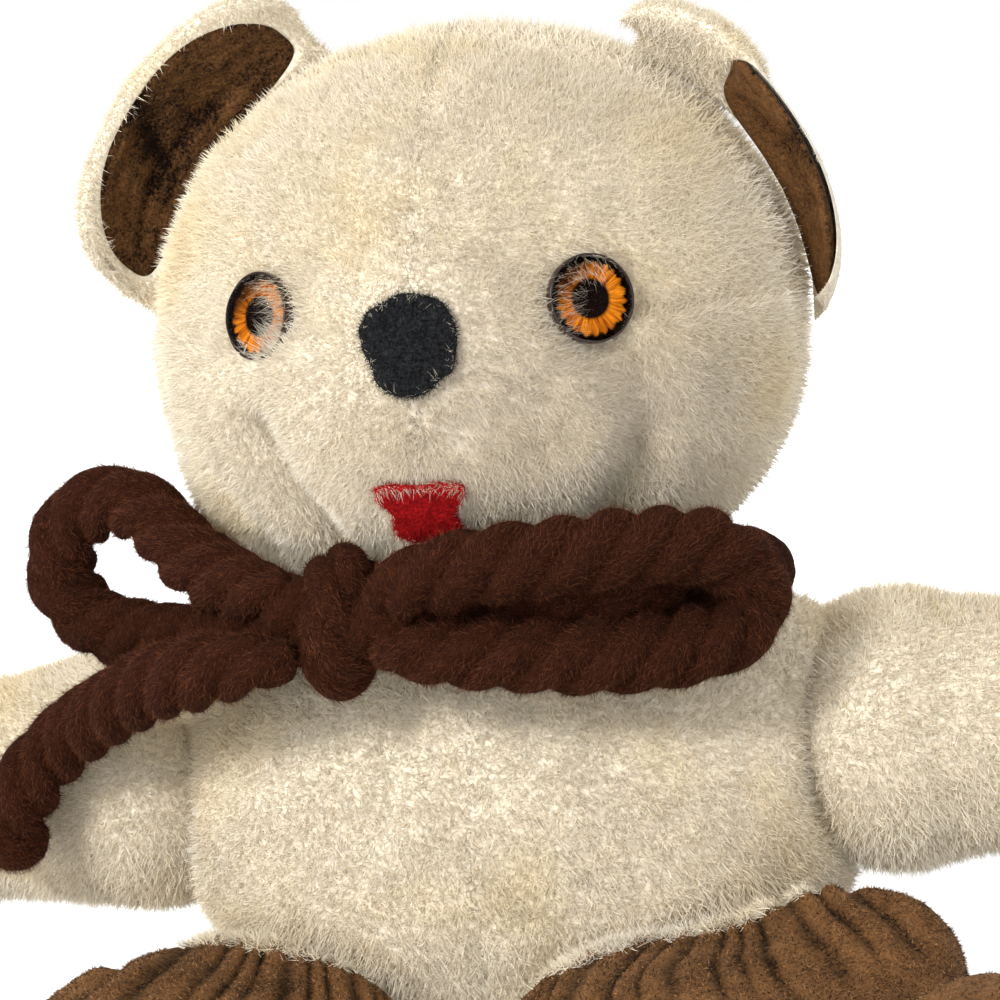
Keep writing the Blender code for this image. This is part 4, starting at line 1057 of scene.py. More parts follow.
def body_swell(points):
    """How far the body stands out from an even egg, in millimetres."""
    swell = 1.7 * lumps(points, 34 * MM, 21) + 0.7 * lumps(points, 11 * MM, 22) - FUR_ROOM / MM * 0.8
    belly = (points[:, 2] > 30 * MM) * smooth_step(-points[:, 1], 10 * MM, 50 * MM)
    swell += 2.0 * belly * bump_at(points, (0, -62 * MM, 92 * MM), 42 * MM)
    for side, _ in SIDES:
        mound = bump_at(points, (side * 84 * MM, -10 * MM, 130 * MM), SHOULDER_MOUND_RADIUS)
        swell += SHOULDER_MOUND * mound
        shoulder, along, across, up = arm_frame(side)
        off = points - shoulder
        round_arm = np.hypot(off @ across, off @ up)
        lip = np.exp(-(((round_arm - ARM_ROOT_RADIUS - 2 * MM) / (7 * MM)) ** 2)) * (off @ along > -60 * MM)
        swell += 3.0 * lip
    return swell * smooth_step(points[:, 2], 2 * MM, 14 * MM)


def room_for_limbs(points, side):
    """The body's points with room for one arm and one leg, which of them moved, and how near the leg they are."""
    shoulder, along, across, up = arm_frame(side)
    root = ARM_ROOT_RADIUS + GAP
    points, by_arm = pressed_in(points, shoulder, -along, across, up, root, root, root)
    hip, along, across, up = leg_frame(side)
    seam = across * cos(LEG_ROLLS[side]) + up * sin(LEG_ROLLS[side])
    rise, sink = np.cross(seam, along) * side, LEG_SINK[side] / 2
    points, by_leg = pressed_in(points, hip - up * sink, -along, seam, rise,
                                LEG_ROOT_RADIUS, LEG_ROOT_HALF_WIDTH - 1 * MM, LEG_ROOT_RADIUS - sink)
    near_leg = smooth_step(15 * MM - nearest(points, [points[by_leg]]), 0, 9 * MM) * (points[:, 2] > hip[2])
    return points, by_arm | by_leg, near_leg * (points[:, 1] < 0)


def make_body():
    ways, faces = globe_directions(6)
    points = WAIST + ways * body_reach(ways)[:, None]
    points = points + ways * body_swell(points)[:, None] * MM
    points[:, 2] = np.maximum(points[:, 2], 0)
    grows = smooth_step(points[:, 2], 5 * MM, 9 * MM)
    fringe = np.zeros(len(points))
    for side, _ in SIDES:
        points, moved, near_leg = room_for_limbs(points, side)
        grows[moved] = 0
        fringe = np.maximum(fringe, near_leg)
    across = np.hypot(points[:, 0] - NECK[0], points[:, 1] - NECK[1])
    neck = NECK_RADIUS - 1 * MM
    dome = NECK[2] + np.sqrt(np.maximum(neck**2 - across**2, 0))
    raised = (across < neck) & (points[:, 2] > WAIST[2])
    points[:, 2] = np.where(raised, np.maximum(points[:, 2], dome), points[:, 2])
    grows[(across < NECK_RADIUS * 0.8) & (points[:, 2] >= 130 * MM)] = 0
    skin = piece("body_cover_plush", points, faces, "cream_backing")
    pile = (1.0 + 0.25 * lumps(points, 15 * MM, 25)) * (1 + FRINGE_LONGER * fringe)
    down = np.outer(fringe, (0, -FRINGE_FORWARDS, -FRINGE_DOWN)) + (0, 0, -0.25)
    mark_hair(skin, grows, pile, down)
    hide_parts("body_cover")
    front, left = points[:, 1] < 0, points[:, 0] >= 0
    parts = (("front_left", "body front", front & left), ("front_right", "body front", front & ~left),
             ("back", "body back", ~front))
    fur = grow_in_parts(skin, "body_fur", grows, parts, 21)
    drop_marks(skin)
    settle("body", "cream_plush", skin, *fur)


# Arms

ARM_SIDES, ROOT_RINGS, MIDDLE_RINGS, END_RINGS = 96, 16, 23, 18


def arm_profile():
    """The distance along the arm and the radius of each ring, from inside the root to the tip."""
    straight = ARM_REACH - ARM_MIDDLE_RADIUS
    profile = []
    for k in range(1, ROOT_RINGS + 1):
        turn = pi / 2 * k / ROOT_RINGS
        profile.append((-ARM_ROOT_RADIUS * cos(turn), ARM_ROOT_RADIUS * sin(turn)))
    for k in range(1, MIDDLE_RINGS + 1):
        t = k / MIDDLE_RINGS
        profile.append((straight * t, ARM_ROOT_RADIUS + (ARM_MIDDLE_RADIUS - ARM_ROOT_RADIUS) * (1 - cos(pi * t)) / 2))
    for k in range(1, END_RINGS):
        turn = pi / 2 * k / END_RINGS
        profile.append((straight + ARM_MIDDLE_RADIUS * sin(turn), ARM_MIDDLE_RADIUS * cos(turn)))
    return profile


def make_arm(side, word):
    shoulder, along, across, up = arm_frame(side)
    turns = full_turn(ARM_SIDES)
    rings = [shoulder + along * distance + np.outer(np.cos(turns), across) * radius
             + np.outer(np.sin(turns), up) * radius for distance, radius in arm_profile()]
    points, faces = loft(rings, shoulder - along * ARM_ROOT_RADIUS, shoulder + along * ARM_REACH)
    distance = (points - shoulder) @ along
    out = points - (shoulder + np.outer(distance, along))
    out /= np.maximum(np.linalg.norm(out, axis=1), 1e-9)[:, None]
    free = smooth_step(distance, 2 * MM, 16 * MM) * smooth_step(ARM_REACH - distance, 0, 8 * MM)
    swell = 1.5 * lumps(points, 28 * MM, 31 + side) + 0.6 * lumps(points, 10 * MM, 33 + side) - FUR_ROOM / MM * 0.8
    points = points + out * (swell * free)[:, None] * MM
    skin = face_outwards(piece(f"arm_{word}_cover_plush", points, faces, "cream_backing"))
    points = points_of(skin)
    front_side = smooth_step(-out @ np.array((0, 1.0, 0)), -0.75, -0.35)
    grows = smooth_step((points - shoulder) @ along, -32 * MM, -26 * MM) * (0.4 + 0.6 * front_side)
    mark_hair(skin, grows, 1.0 + 0.22 * lumps(points, 14 * MM, 35 + side), along * 0.35 + np.array((0, 0, -0.15)))
    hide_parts(f"arm_{word}_cover")
    fur = grow(skin, f"arm_{word}_fur", "arm", 30 + side)
    drop_marks(skin)
    settle(f"arm_{word}", "cream_plush", skin, fur)


# Legs

# Share of the reach, half width and half height of a leg's stations
LEG_STATIONS = (
    (0.14, LEG_ROOT_HALF_WIDTH * 1.03, LEG_ROOT_RADIUS),
    (0.30, LEG_PUFF_HALF_WIDTH, LEG_ROOT_RADIUS),
    (0.48, (LEG_PUFF_HALF_WIDTH + LEG_ANKLE_HALF_WIDTH) / 2, (LEG_ROOT_RADIUS + LEG_ANKLE_HALF_HEIGHT) / 2),
    (0.66, LEG_ANKLE_HALF_WIDTH, LEG_ANKLE_HALF_HEIGHT),
    (0.80, LEG_FOOT_HALF_WIDTH * 0.97, LEG_FOOT_HALF_HEIGHT * 0.9),
    (0.92, LEG_FOOT_HALF_WIDTH, LEG_FOOT_HALF_HEIGHT),
    (1.00, LEG_FOOT_HALF_WIDTH - 3 * MM, LEG_FOOT_HALF_HEIGHT - 3 * MM),
)
LEG_SIDES, LEG_ROWS = 220, 120
FOLD_SPACING, FOLD_DEPTH = 5.4 * MM, 4.4
# Where the gathers leave the belly's seam in the picture: out from its middle, height, and slope
GATHERS = (
    (-20, -142, 12.0), (16, -138, 12.0), (39, -131, 8.0), (53, -128, 3.0), (69, -125, 1.4),
    (79, -120, 1.0), (91, -111, 0.8), (104, -105, 0.65), (170, -90, 0.5),
)
# The belly's seam over each leg in the picture: out from its middle, and height, in millimetres
SEAMS = {
    1: ((4, -139), (27, -135), (39, -129), (69, -124), (79, -119), (91, -110), (96, -107)),
    -1: ((10, -143), (30, -141), (50, -134), (72, -132), (81, -123), (87, -114), (92, -108)),
}


def in_picture(points):
    """Where points are seen in the picture, in metres right of and above its middle."""
    right = np.array((cos(CAMERA_AZIMUTH), sin(CAMERA_AZIMUTH), 0))
    off = points - np.array(CAMERA_TARGET)
    nearness = CAMERA_DISTANCE / (CAMERA_DISTANCE + off @ CAMERA_LOOK)
    across, up = off @ right * nearness, off @ np.cross(right, CAMERA_LOOK) * nearness
    return across * cos(CAMERA_ROLL) - up * sin(CAMERA_ROLL), across * sin(CAMERA_ROLL) + up * cos(CAMERA_ROLL)


def gather_start(out, height):
    """Which gather of the seam each point of a leg lies on, as its distance out from the middle."""
    known = np.array(GATHERS)
    start = out.copy()
    for _ in range(14):
        seam = np.interp(start, known[:, 0] * MM, known[:, 1] * MM)
        slope = np.interp(start, known[:, 0] * MM, known[:, 2])
        start = start * 0.5 + (out - np.maximum(seam - height, -8 * MM) / slope) * 0.5
    return start


def make_seam_fringe(skin, side, word, hip, along):
    """The belly's fur that hangs over the top of a leg, as far down as the seam in the picture."""
    points = points_of(skin)
    across, up = in_picture(points)
    out = across * side
    known = np.array(SEAMS[side]) * MM
    front = (points[:, 1] < -25 * MM) & ((points - hip) @ along < 45 * MM) & (points[:, 2] > 30 * MM)
    bins = np.arange(-20, 130, 3) * MM
    tops = np.array([up[front & (np.abs(out - at) < 2.5 * MM)].max(initial=-0.2) for at in bins])
    top = np.interp(out, bins, tops)
    lower_edge = np.clip(np.interp(out, known[:, 0], known[:, 1]), top - 4.0 * MM, top - 1.7 * MM)
    lower_edge = lower_edge + 0.8 * MM * lumps(points, 7 * MM, 27)
    grows = front * smooth_step(up - lower_edge, -0.5 * MM, 0.5 * MM)
    grows = grows * smooth_step(out, 2 * MM, 8 * MM) * smooth_step(93 * MM - out, 0, 6 * MM)
    mark_hair(skin, grows, comb=(0, -0.3, -0.9))
    settle("body", "cream_plush", grow(skin, f"body_fur_over_leg_{word}", "belly over leg", 23))


def leg_table(side):
    """Each ring of a leg: distance along it, half width, half height, lift and roll, with the jumps eased."""
    sink, root_roll = LEG_SINK[side] / 2, LEG_ROLLS[side]
    turns = [pi / 2 * k / 12 for k in range(1, 13)]
    known = [(-LEG_ROOT_RADIUS * cos(t), LEG_ROOT_HALF_WIDTH * sin(t), (LEG_ROOT_RADIUS - sink) * sin(t), -sink,
              root_roll) for t in turns]
    for share, wide, high in LEG_STATIONS:
        roll, low_by = root_roll * (1 - share), sink * max(1 - share / 0.66, 0)
        low = rest_height(wide, high - low_by, roll) + (3 * MM if share == 1 else 0)
        known.append((LEG_REACH * share, wide, high - low_by, low - FLAT_DEPTH - LEG_AXIS_HEIGHT, roll))
    known = np.array(known)
    distances = np.linspace(known[0, 0], known[-1, 0], LEG_ROWS)
    table = np.array([np.interp(distances, known[:, 0], known[:, k]) for k in range(5)])
    for column in table[1:]:
        for _ in range(4):
            column[14:-6] = ((column[:-2] + 2 * column[1:-1] + column[2:]) / 4)[13:-5]
    return table


def leg_folds(points, distance, side):
    """The gathers at a leg's points: their wave, how far out, how deep and how uneven they are."""
    seen_across, seen_up = in_picture(points)
    start = gather_start(seen_across * side, seen_up) + lumps(points, 40 * MM, 41 + side) * 1.6 * MM
    wave = start / FOLD_SPACING * 2 * pi
    wave = wave + 1.3 * np.sin(wave * 0.31) + 0.8 * np.sin(wave * 0.13 + 2)
    uneven = 0.5 + 0.5 * np.sin(wave * 0.5 + 2.5 * lumps(points, 30 * MM, 55 + side))
    fold = 1 - (1 - np.abs(np.sin(wave / 2)) ** 0.8) * (0.6 + 0.4 * uneven)
    depth = smooth_step(distance, -22 * MM, 2 * MM) * (1 - smooth_step(distance, 34 * MM, 78 * MM))
    return wave, fold, depth, uneven


def leg_bulge(points, distance, outer, side):
    """How far a leg's points are lifted, in millimetres, and moved towards the middle, in metres."""
    puff = smooth_step(points[:, 2], 25 * MM, 55 * MM) * smooth_step(distance, -8 * MM, 20 * MM)
    puff = puff * (1 - smooth_step(distance, 45 * MM, 80 * MM))
    raised = LEG_OUTER_LIFT[side] * smooth_step(outer, -5 * MM, 35 * MM)
    lift = puff * (raised - 2.0 * smooth_step(-outer, -8 * MM, 30 * MM))
    if side > 0:
        lift += 17 * smooth_step(-outer, -5 * MM, 40 * MM) * (1 - smooth_step(distance, 50 * MM, 90 * MM))
    inner = smooth_step(-outer, -8 * MM, 42 * MM) * smooth_step(distance, -25 * MM, 10 * MM)
    return lift, inner * (1 - smooth_step(distance, 60 * MM, 100 * MM)) * LEG_INNER_PUFF[side]


def make_leg(side, word):
    hip, along, across, up = leg_frame(side)
    table = leg_table(side)
    turns = full_turn(LEG_SIDES)
    rings = []
    for distance, wide, high, lift, roll in table.T:
        centre = hip + along * distance + up * lift
        wide_way = across * cos(roll) + up * sin(roll)
        high_way = up * cos(roll) - across * sin(roll)
        rings.append(centre + np.outer(np.cos(turns) * wide, wide_way) + np.outer(np.sin(turns) * high, high_way))
    points, faces = loft(rings, hip - along * LEG_ROOT_RADIUS, hip + along * table[0, -1] + up * table[3, -1])
    skin = face_outwards(piece(f"leg_{word}_velvet", points, faces, "velvet"))
    points, ways = points_of(skin), points_of(skin, "normal")
    distance, outer = (points - hip) @ along, (points - hip) @ across
    wave, fold, depth, uneven = leg_folds(points, distance, side)
    deep = 0.65 + 0.5 * lumps(points, 18 * MM, 45 + side)
    swell = (FOLD_DEPTH * (fold - 0.8) * deep + 0.9 * 0.5 * np.sin(wave * 0.27 + 1.0)) * depth
    crush = 0.7 * lumps(points, 22 * MM, 47 + side) * smooth_step(distance, -10 * MM, 10 * MM)
    swell += crush * (1 - 0.8 * smooth_step(distance, 112 * MM, 121 * MM))
    off_floor = smooth_step(points[:, 2], 1 * MM, 12 * MM)
    lift, inwards = leg_bulge(points, distance, outer, side)
    points = points - np.outer(inwards, across)
    points = points + ways * (swell * off_floor)[:, None] * MM
    points[:, 2] = np.maximum(points[:, 2] + lift * MM * off_floor, 0)
    set_points(skin, points)
    mark(skin, "fold", 0.8 + 0.25 * lumps(points, 20 * MM, 57 + side))
    mark(skin, "wave", wave)
    mark(skin, "gathered", depth**0.8 * (0.7 + 0.3 * uneven))
    shown = smooth_step(points[:, 2], 8 * MM, 20 * MM) * (0.35 + 0.65 * smooth_step(110 * MM - distance, 0, 40 * MM))
    grows = shown * smooth_step(distance, -20 * MM, -12 * MM) * (1 - 0.95 * depth * smooth_step(0.95 - fold, 0, 0.3))
    mark_hair(skin, grows, comb=along * 0.6)
    nap = grow(skin, f"leg_{word}_nap", "leg", 40 + side)
    make_seam_fringe(skin, side, word, hip, along)
    drop_marks(skin)
    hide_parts(f"leg_{word}_cover")
    settle(f"leg_{word}", "brown_velveteen", nap, skin)
    make_sole(side, word, hip + along * (LEG_REACH + GAP) + up * table[3, -1], along, across)


SOLE_THICKNESS, SOLE_RIM = 2.5 * MM, 0.86


def make_sole(side, word, foot, along, across):
    wide, high = LEG_FOOT_HALF_WIDTH - 6 * MM, LEG_FOOT_HALF_HEIGHT - 6 * MM
    turns, steps = full_turn(96), 20
    tops, backs = [], []
    for k in range(1, steps + 1):
        share = k / steps
        rim = max((share - SOLE_RIM) / (1 - SOLE_RIM), 0)
        thick = SOLE_THICKNESS * (0.35 + 0.65 * sqrt(max(1 - rim**2, 0)))
        ring = foot + np.outer(np.cos(turns) * wide * share, across) + np.outer(np.sin(turns) * high * share, UP)
        tops.append(ring + np.outer(thick + lumps(ring, 9 * MM, 51 + side) * 0.35 * MM, along))
        backs.append(ring)
    points, faces = loft(tops + backs[::-1], foot + along * SOLE_THICKNESS, foot)
    sole = face_outwards(piece(f"sole_{word}_velvet", points, faces, "velvet"))
    mark(sole, "fold", 0.5)
    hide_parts(f"sole_{word}")
    settle(f"leg_{word}", "brown_velveteen", sole)


# Ears

EAR_HALF_LENGTH, EAR_RISE = 46 * MM, 37 * MM
EAR_BEND = {1: radians(24), -1: radians(56)}
EAR_FULLNESS = 2.5
# How far the rim of each ear has slumped, in millimetres
EAR_SLUMP = {1: (-12, 0, 1), -1: (3, 0, 5)}
EAR_COLUMNS, EAR_ROWS, EAR_THICKNESS = 61, 41, 3.2 * MM
# Half length, middle along the seam, middle height and half height of a lining, as shares of the ear
LININGS = {1: (0.72, 0.23, 0.51, 0.485), -1: (0.90, 0.03, 0.465, 0.465)}
LINING_SQUARENESS = {1: 0.5, -1: 0.66}
LINING_SHADE = {1: 0.72, -1: 0.42}
LINING_SIDES, LINING_RINGS, LINING_LOW, LINING_RIM, LINING_HIGH = 72, 26, 1.0, 2.4, 3.8


def ear_frame(side):
    """Where an ear's seam has its middle, the way along the seam, the way out and the way to the front."""
    azimuth, elevation = side * radians(92), radians(28) - side * radians(3)
    out = head_skin_normal(azimuth, elevation)
    front = np.array((0, -1.0, 0))
    front = front - out * (front @ out)
    front /= np.linalg.norm(front)
    return head_skin_point(azimuth, elevation) + out * 0.5 * MM, np.cross(out, front), out, front


def ear_drop(side, offset):
    """How far the head falls away below the ear's seam."""
    seat, seam, out, _ = ear_frame(side)

    def in_the_head(depth):
        way = seat + seam * offset - out * depth - HEAD
        length = np.linalg.norm(way)
        return length <= head_reach((way / length)[None])[0] + 0.5 * MM

    return halved(0.0, HEAD_HALF[0], in_the_head, 24)


def ear_drops(side):
    known = np.linspace(-1, 1, 41)
    return known, np.array([ear_drop(side, share * EAR_HALF_LENGTH) for share in known])


EAR_DROPS = {side: ear_drops(side) for side, _ in SIDES}


def ear_point(side, shares, heights):
    """Points of the ear's middle surface at shares along its seam, -1 to 1, and heights up it, 0 to 1."""
    seat, seam, out, front = ear_frame(side)
    drops = np.interp(shares, *EAR_DROPS[side])
    tall = EAR_RISE * (1 - np.minimum(np.abs(shares), 1) ** EAR_FULLNESS) ** (1 / EAR_FULLNESS) + drops
    radius = EAR_RISE / EAR_BEND[side]
    turn = tall * heights / radius
    up, bend = radius * np.sin(turn), radius * (1 - np.cos(turn))
    tilt = radians(30 + side * 8)
    rise = up * cos(tilt) - bend * sin(tilt) - drops
    forward = up * sin(tilt) + bend * cos(tilt)
    along = shares * EAR_HALF_LENGTH
    leaned = np.clip(heights, 0, 1) ** 2
    slump = np.array(EAR_SLUMP[side]) * MM
    return (seat + along[..., None] * seam + rise[..., None] * out + forward[..., None] * front
            + (leaned + 0 * along)[..., None] * slump)


def ear_sheet(side, shares, heights):
    """Points of the ear's middle surface and the way that it faces, forwards."""
    step = 0.01
    lower, upper = np.clip(shares - step, -0.999, 0.97), np.clip(shares + step, -0.97, 0.999)
    rows = ear_point(side, upper, heights) - ear_point(side, lower, heights)
    columns = (ear_point(side, shares, np.minimum(heights + step, 1))
               - ear_point(side, shares, np.maximum(heights - step, 0)))
    ways = np.cross(rows, columns)
    ways /= np.maximum(np.linalg.norm(ways, axis=-1), 1e-12)[..., None]
    return ear_point(side, shares, heights), ways


def closed_leaf(front, back):
    """Points and faces of two grids of equal size, sewn together round their edge."""
    rows, columns = front.shape[:2]
    size = rows * columns
    faces = []
    for i in range(rows - 1):
        for j in range(columns - 1):
            a = i * columns + j
            b = a + columns
            faces.append((a, b, b + 1, a + 1))
            faces.append((size + a, size + a + 1, size + b + 1, size + b))
    border = [i * columns for i in range(rows)]
    border += [(rows - 1) * columns + j for j in range(1, columns)]
    border += [i * columns + columns - 1 for i in range(rows - 2, -1, -1)]
    border += list(range(columns - 2, 0, -1))
    for a, b in zip(border, border[1:] + border[:1]):
        faces.append((a, size + a, size + b, b))
    return np.vstack([front.reshape(-1, 3), back.reshape(-1, 3)]), faces


def lining_share(side, along, height):
    """How far out towards the lining's edge a point of the ear is: 1 at the edge."""
    half, middle_along, middle_height, half_height = LININGS[side]
    power = 2 / LINING_SQUARENESS[side]
    wide, tall = np.abs((along - middle_along) / half), np.abs((height - middle_height) / half_height)
    return (wide**power + tall**power) ** (1 / power)


def lining_ring(side, share):
    """Shares along the seam and heights of a ring in the lining, at a share of the way to its edge."""
    half, middle_along, middle_height, half_height = LININGS[side]
    turns = full_turn(LINING_SIDES)
    wide, tall = (np.sign(way) * np.abs(way) ** LINING_SQUARENESS[side] for way in (np.cos(turns), np.sin(turns)))
    return middle_along + wide * half * share, middle_height + tall * half_height * share


def crease_of_ear(side, along, height):
    """The crease that runs down the hollow of the lining, dented into it and painted darker as shade."""
    across = np.exp(-(((along - 0.10 * side - 0.25 * (height - 0.5)) / 0.10) ** 2)) * smooth_step(height, 0.1, 0.4)
    down = np.exp(-(((height - 0.34 - 0.10 * along * side) / 0.08) ** 2)) * smooth_step(0.6 - np.abs(along), 0, 0.3)
    return np.maximum(across, 0.6 * down)


def ear_cloth(side, word):
    """An ear's plush, thin under the lining, and thin where the left ear's rim is turned over."""
    shares = -0.999 * np.cos(pi * np.arange(EAR_COLUMNS) / (EAR_COLUMNS - 1))
    heights = np.sin(pi / 2 * np.arange(EAR_ROWS) / (EAR_ROWS - 1))
    near_edge = np.minimum(1 - np.abs(shares)[:, None] ** 3, 1 - heights[None, :] ** 3)
    plump = np.sqrt(np.clip(near_edge / 0.35, 0, 1))
    root = smooth_step(heights, 0.0, 0.06)[None, :]
    along, height = np.meshgrid(shares, heights, indexing="ij")
    turned_over = smooth_step(along, -0.5, -0.2) * (side > 0)
    height = height * (1 - 0.13 * turned_over)
    thin = 1 - 0.8 * turned_over
    thick = EAR_THICKNESS * plump * (0.25 + 0.75 * root) * thin
    hollow = 1 - 0.75 * smooth_step(1.05 - lining_share(side, along, height), 0, 0.12)
    middle, ways = ear_sheet(side, along, height)
    ruffle = 1.1 * MM * lumps(middle.reshape(-1, 3), 22 * MM, 61 + side).reshape(plump.shape) * plump * thin
    points, faces = closed_leaf(middle + ways * (thick * hollow)[..., None],
                                middle - ways * (thick + ruffle)[..., None])
    return face_outwards(piece(f"ear_{word}_plush_back", points, faces, "cream_backing"))


def ear_lining(side, word):
    """The velvet in the hollow of an ear, with its creases, and the points of its front and of its back."""
    fronts, backs, shades = [], [], []
    for k in range(1, LINING_RINGS + 1):
        share = k / LINING_RINGS
        along, height = lining_ring(side, share)
        edge = smooth_step(1 - share, 0.0, 0.16)
        found, ways = ear_sheet(side, along, height)
        crinkle = np.sin(height * 34 + along * 3 + 1.6 * np.sin(along * 6))
        creased = crease_of_ear(side, along, height)
        fold = 1.1 * lumps(found, 9 * MM, 63 + side) + 0.25 * crinkle - 2.4 * creased
        # The lining is painted darker in its crease and along its crinkles, as shade
        shades.append(LINING_SHADE[side] + 0.04 * crinkle - 0.45 * creased)
        fronts.append(found + ways * ((LINING_RIM + (LINING_HIGH - LINING_RIM) * edge + fold * edge) * MM)[:, None])
        backs.append(found + ways * (LINING_LOW * MM))
    _, middle_along, middle_height, _ = LININGS[side]
    middle, way = (found[0] for found in ear_sheet(side, np.array([middle_along]), np.array([middle_height])))
    points, faces = loft(fronts + backs[::-1], middle + way * LINING_HIGH * MM, middle + way * LINING_LOW * MM)
    lining = piece(f"ear_{word}_velvet", points, faces, "velvet")
    mark(lining, "fold", np.concatenate([*shades, np.full(len(backs) * LINING_SIDES, 0.4), [0.5, 0.4]]))
    return face_outwards(lining), fronts, backs


def make_ear(side, word):
    skin = ear_cloth(side, word)
    lining, fronts, backs = ear_lining(side, word)
    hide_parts(f"ear_{word}_lining")
    points, bare = points_of(skin), 1.7 * MM
    seat, seam, out, _ = ear_frame(side)
    worn_rim = smooth_step((points - seat) @ seam, -20 * MM, -8 * MM) * (side > 0)
    worn_rim = worn_rim * smooth_step(14 * MM - nearest(points, fronts), 0, 5 * MM)
    pile = (0.85 + 0.2 * lumps(points, 12 * MM, 65 + side)) * (1 - 0.75 * worn_rim)
    mark_hair(skin, smooth_step(nearest(points, fronts + backs), bare, bare + 1 * MM), pile, out * 0.2)
    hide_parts(f"ear_{word}_plush")
    fur = grow(skin, f"ear_{word}_fur", "ear", 60 + side)
    drop_marks(skin)
    settle(f"ear_{word}", "cream_plush", skin, fur)
    settle(f"ear_{word}", "brown_velveteen", lining)


# The tie of wool roving

# Places in millimetres along each strand's middle, and its thickness as a share
NECK_ROUTE = (
    (-24, -62, 145.5, 0.9), (8, -62, 139.5, 0.95), (42, -56.5, 141.5, 1), (67, -27, 146, 1),
    (73, 8, 147, 1), (53, 45, 145, 1), (19, 62, 141, 1), (-19, 62, 141, 1),
    (-53, 45, 145, 1), (-73, 8, 147, 1), (-67, -27, 146, 1), (-47, -52, 144, 0.9),
)
BOW_LEFT_ROUTE = (
    (-12.5, -92, 160, 0.75), (-2, -97, 165, 0.9), (15, -96, 168, 1), (35, -91, 169, 1),
    (54, -81, 169, 1), (70, -69, 166, 1), (79, -60, 156, 1), (77, -60, 144, 1), (64, -70, 140, 1),
    (46, -80, 140, 1), (26, -86, 142, 1), (6, -90, 144, 0.95), (-8, -91, 146, 0.85), (-13, -91, 147, 0.7),
)
BOW_RIGHT_ROUTE = (
    (-43.6, -81, 160, 0.6), (-53, -76, 160, 0.85), (-65, -67, 162, 1), (-76, -59, 167, 1),
    (-86, -51, 175, 1), (-97, -45, 181, 1), (-111, -41, 179, 1), (-120, -39, 169, 1), (-120, -39, 156, 1),
    (-110, -42, 146, 1), (-92, -50, 143, 1), (-72, -61, 144.5, 0.95), (-55, -71, 148, 0.8), (-44, -77, 151, 0.6),
)
TAIL_ROUTE = (
    (-41.5, -91.5, 143.5, 0.6), (-52, -92, 143, 0.8), (-65, -88, 140.5, 1), (-81, -79, 136, 1),
    (-98, -67, 128, 1), (-112, -57, 120, 1), (-123, -51, 112, 1), (-132, -50, 103, 1),
    (-138, -50, 92, 1), (-139, -50, 82, 1),
)
# How far the neck wrap's front comes forward and up, to fill the gap behind the bow
WRAP_FORWARD, WRAP_UP = 14, 13
PLY_COUNT, PLY_PITCH = 3, 41 * MM
STRAND_RADIUS, STRAND_SIDES, STEPS_A_SPAN = YARN_DIAMETER / 2, 48, 14
CAP_TURNS, CAP_LENGTH = (0.45, 0.9, 1.25), 0.55
BAND_STEPS, CORE_STEPS, CORE_HALF_LENGTH, CORE_FLAT = 72, 30, 17, (1.0, 1.35)


def smooth_route(route):
    """Points in metres, with the thickness, along a smooth curve through the route."""
    points = [np.array((x * MM, y * MM, z * MM, thick)) for x, y, z, thick in route]
    ends = [points[0] * 2 - points[1], *points, points[-1] * 2 - points[-2]]
    found = []
    for p0, p1, p2, p3 in zip(ends, ends[1:], ends[2:], ends[3:]):
        for k in range(STEPS_A_SPAN):
            t = k / STEPS_A_SPAN
            bend = (p0 * 2 - p1 * 5 + p2 * 4 - p3) * t**2 + (p1 * 3 - p0 - p2 * 3 + p3) * t**3
            found.append((p1 * 2 + (p2 - p0) * t + bend) / 2)
    found.append(points[-1])
    return np.array(found)


def route_frames(line, closed):
    """The way along a line at each of its points, and two ways across it that don't twist."""
    ways = np.roll(line, -1, axis=0) - np.roll(line, 1, axis=0) if closed else np.gradient(line, axis=0)
    ways /= np.linalg.norm(ways, axis=1)[:, None]
    side = np.cross(ways[0], UP)
    if np.linalg.norm(side) < 0.2:
        side = np.cross(ways[0], (0, 1.0, 0))
    sideways = []
    for way in ways:
        side = side - way * (side @ way)
        side /= np.linalg.norm(side)
        sideways.append(side)
    return ways, np.array(sideways), np.cross(ways, sideways)


def strand(route, seed, flat=(1.0, 1.0), closed=False, pitch=PLY_PITCH):
    """A twisted strand of plies along a route of (x, y, z, thickness) points in metres: its rings, the way
    that its fibres run, its map and its length."""
    line, thick = route[:, :3], route[:, 3]
    ways, sideways, upwards = route_frames(line, closed)
    run = np.concatenate([[0], np.cumsum(np.linalg.norm(np.diff(line, axis=0), axis=1))])
    turns = full_turn(STRAND_SIDES)
    rings, fibres, maps = [], [], []
    for k in range(len(line)):
        twist = -2 * pi * run[k] / pitch
        ply = np.abs(np.cos(PLY_COUNT * (turns - twist) / 2)) ** 0.6
        out = np.outer(np.cos(turns), sideways[k]) * flat[0] + np.outer(np.sin(turns), upwards[k]) * flat[1]
        reach = STRAND_RADIUS * thick[k] * (0.68 + 0.36 * ply)
        reach = reach * (1 + 0.035 * lumps(line[k] + out * STRAND_RADIUS, 9 * MM, seed, 3))
        rings.append(line[k] + out * reach[:, None])
        round_way = -np.outer(np.sin(turns), sideways[k]) + np.outer(np.cos(turns), upwards[k])
        fibres.append(ways[k] - round_way * (2 * pi * STRAND_RADIUS * 0.8 / pitch))
        along = np.full(STRAND_SIDES, run[k] / (2 * pi * STRAND_RADIUS))
        maps.append(np.stack([(turns - twist) / (2 * pi), along], -1))
    return np.array(rings), np.array(fibres), np.array(maps), run[-1]


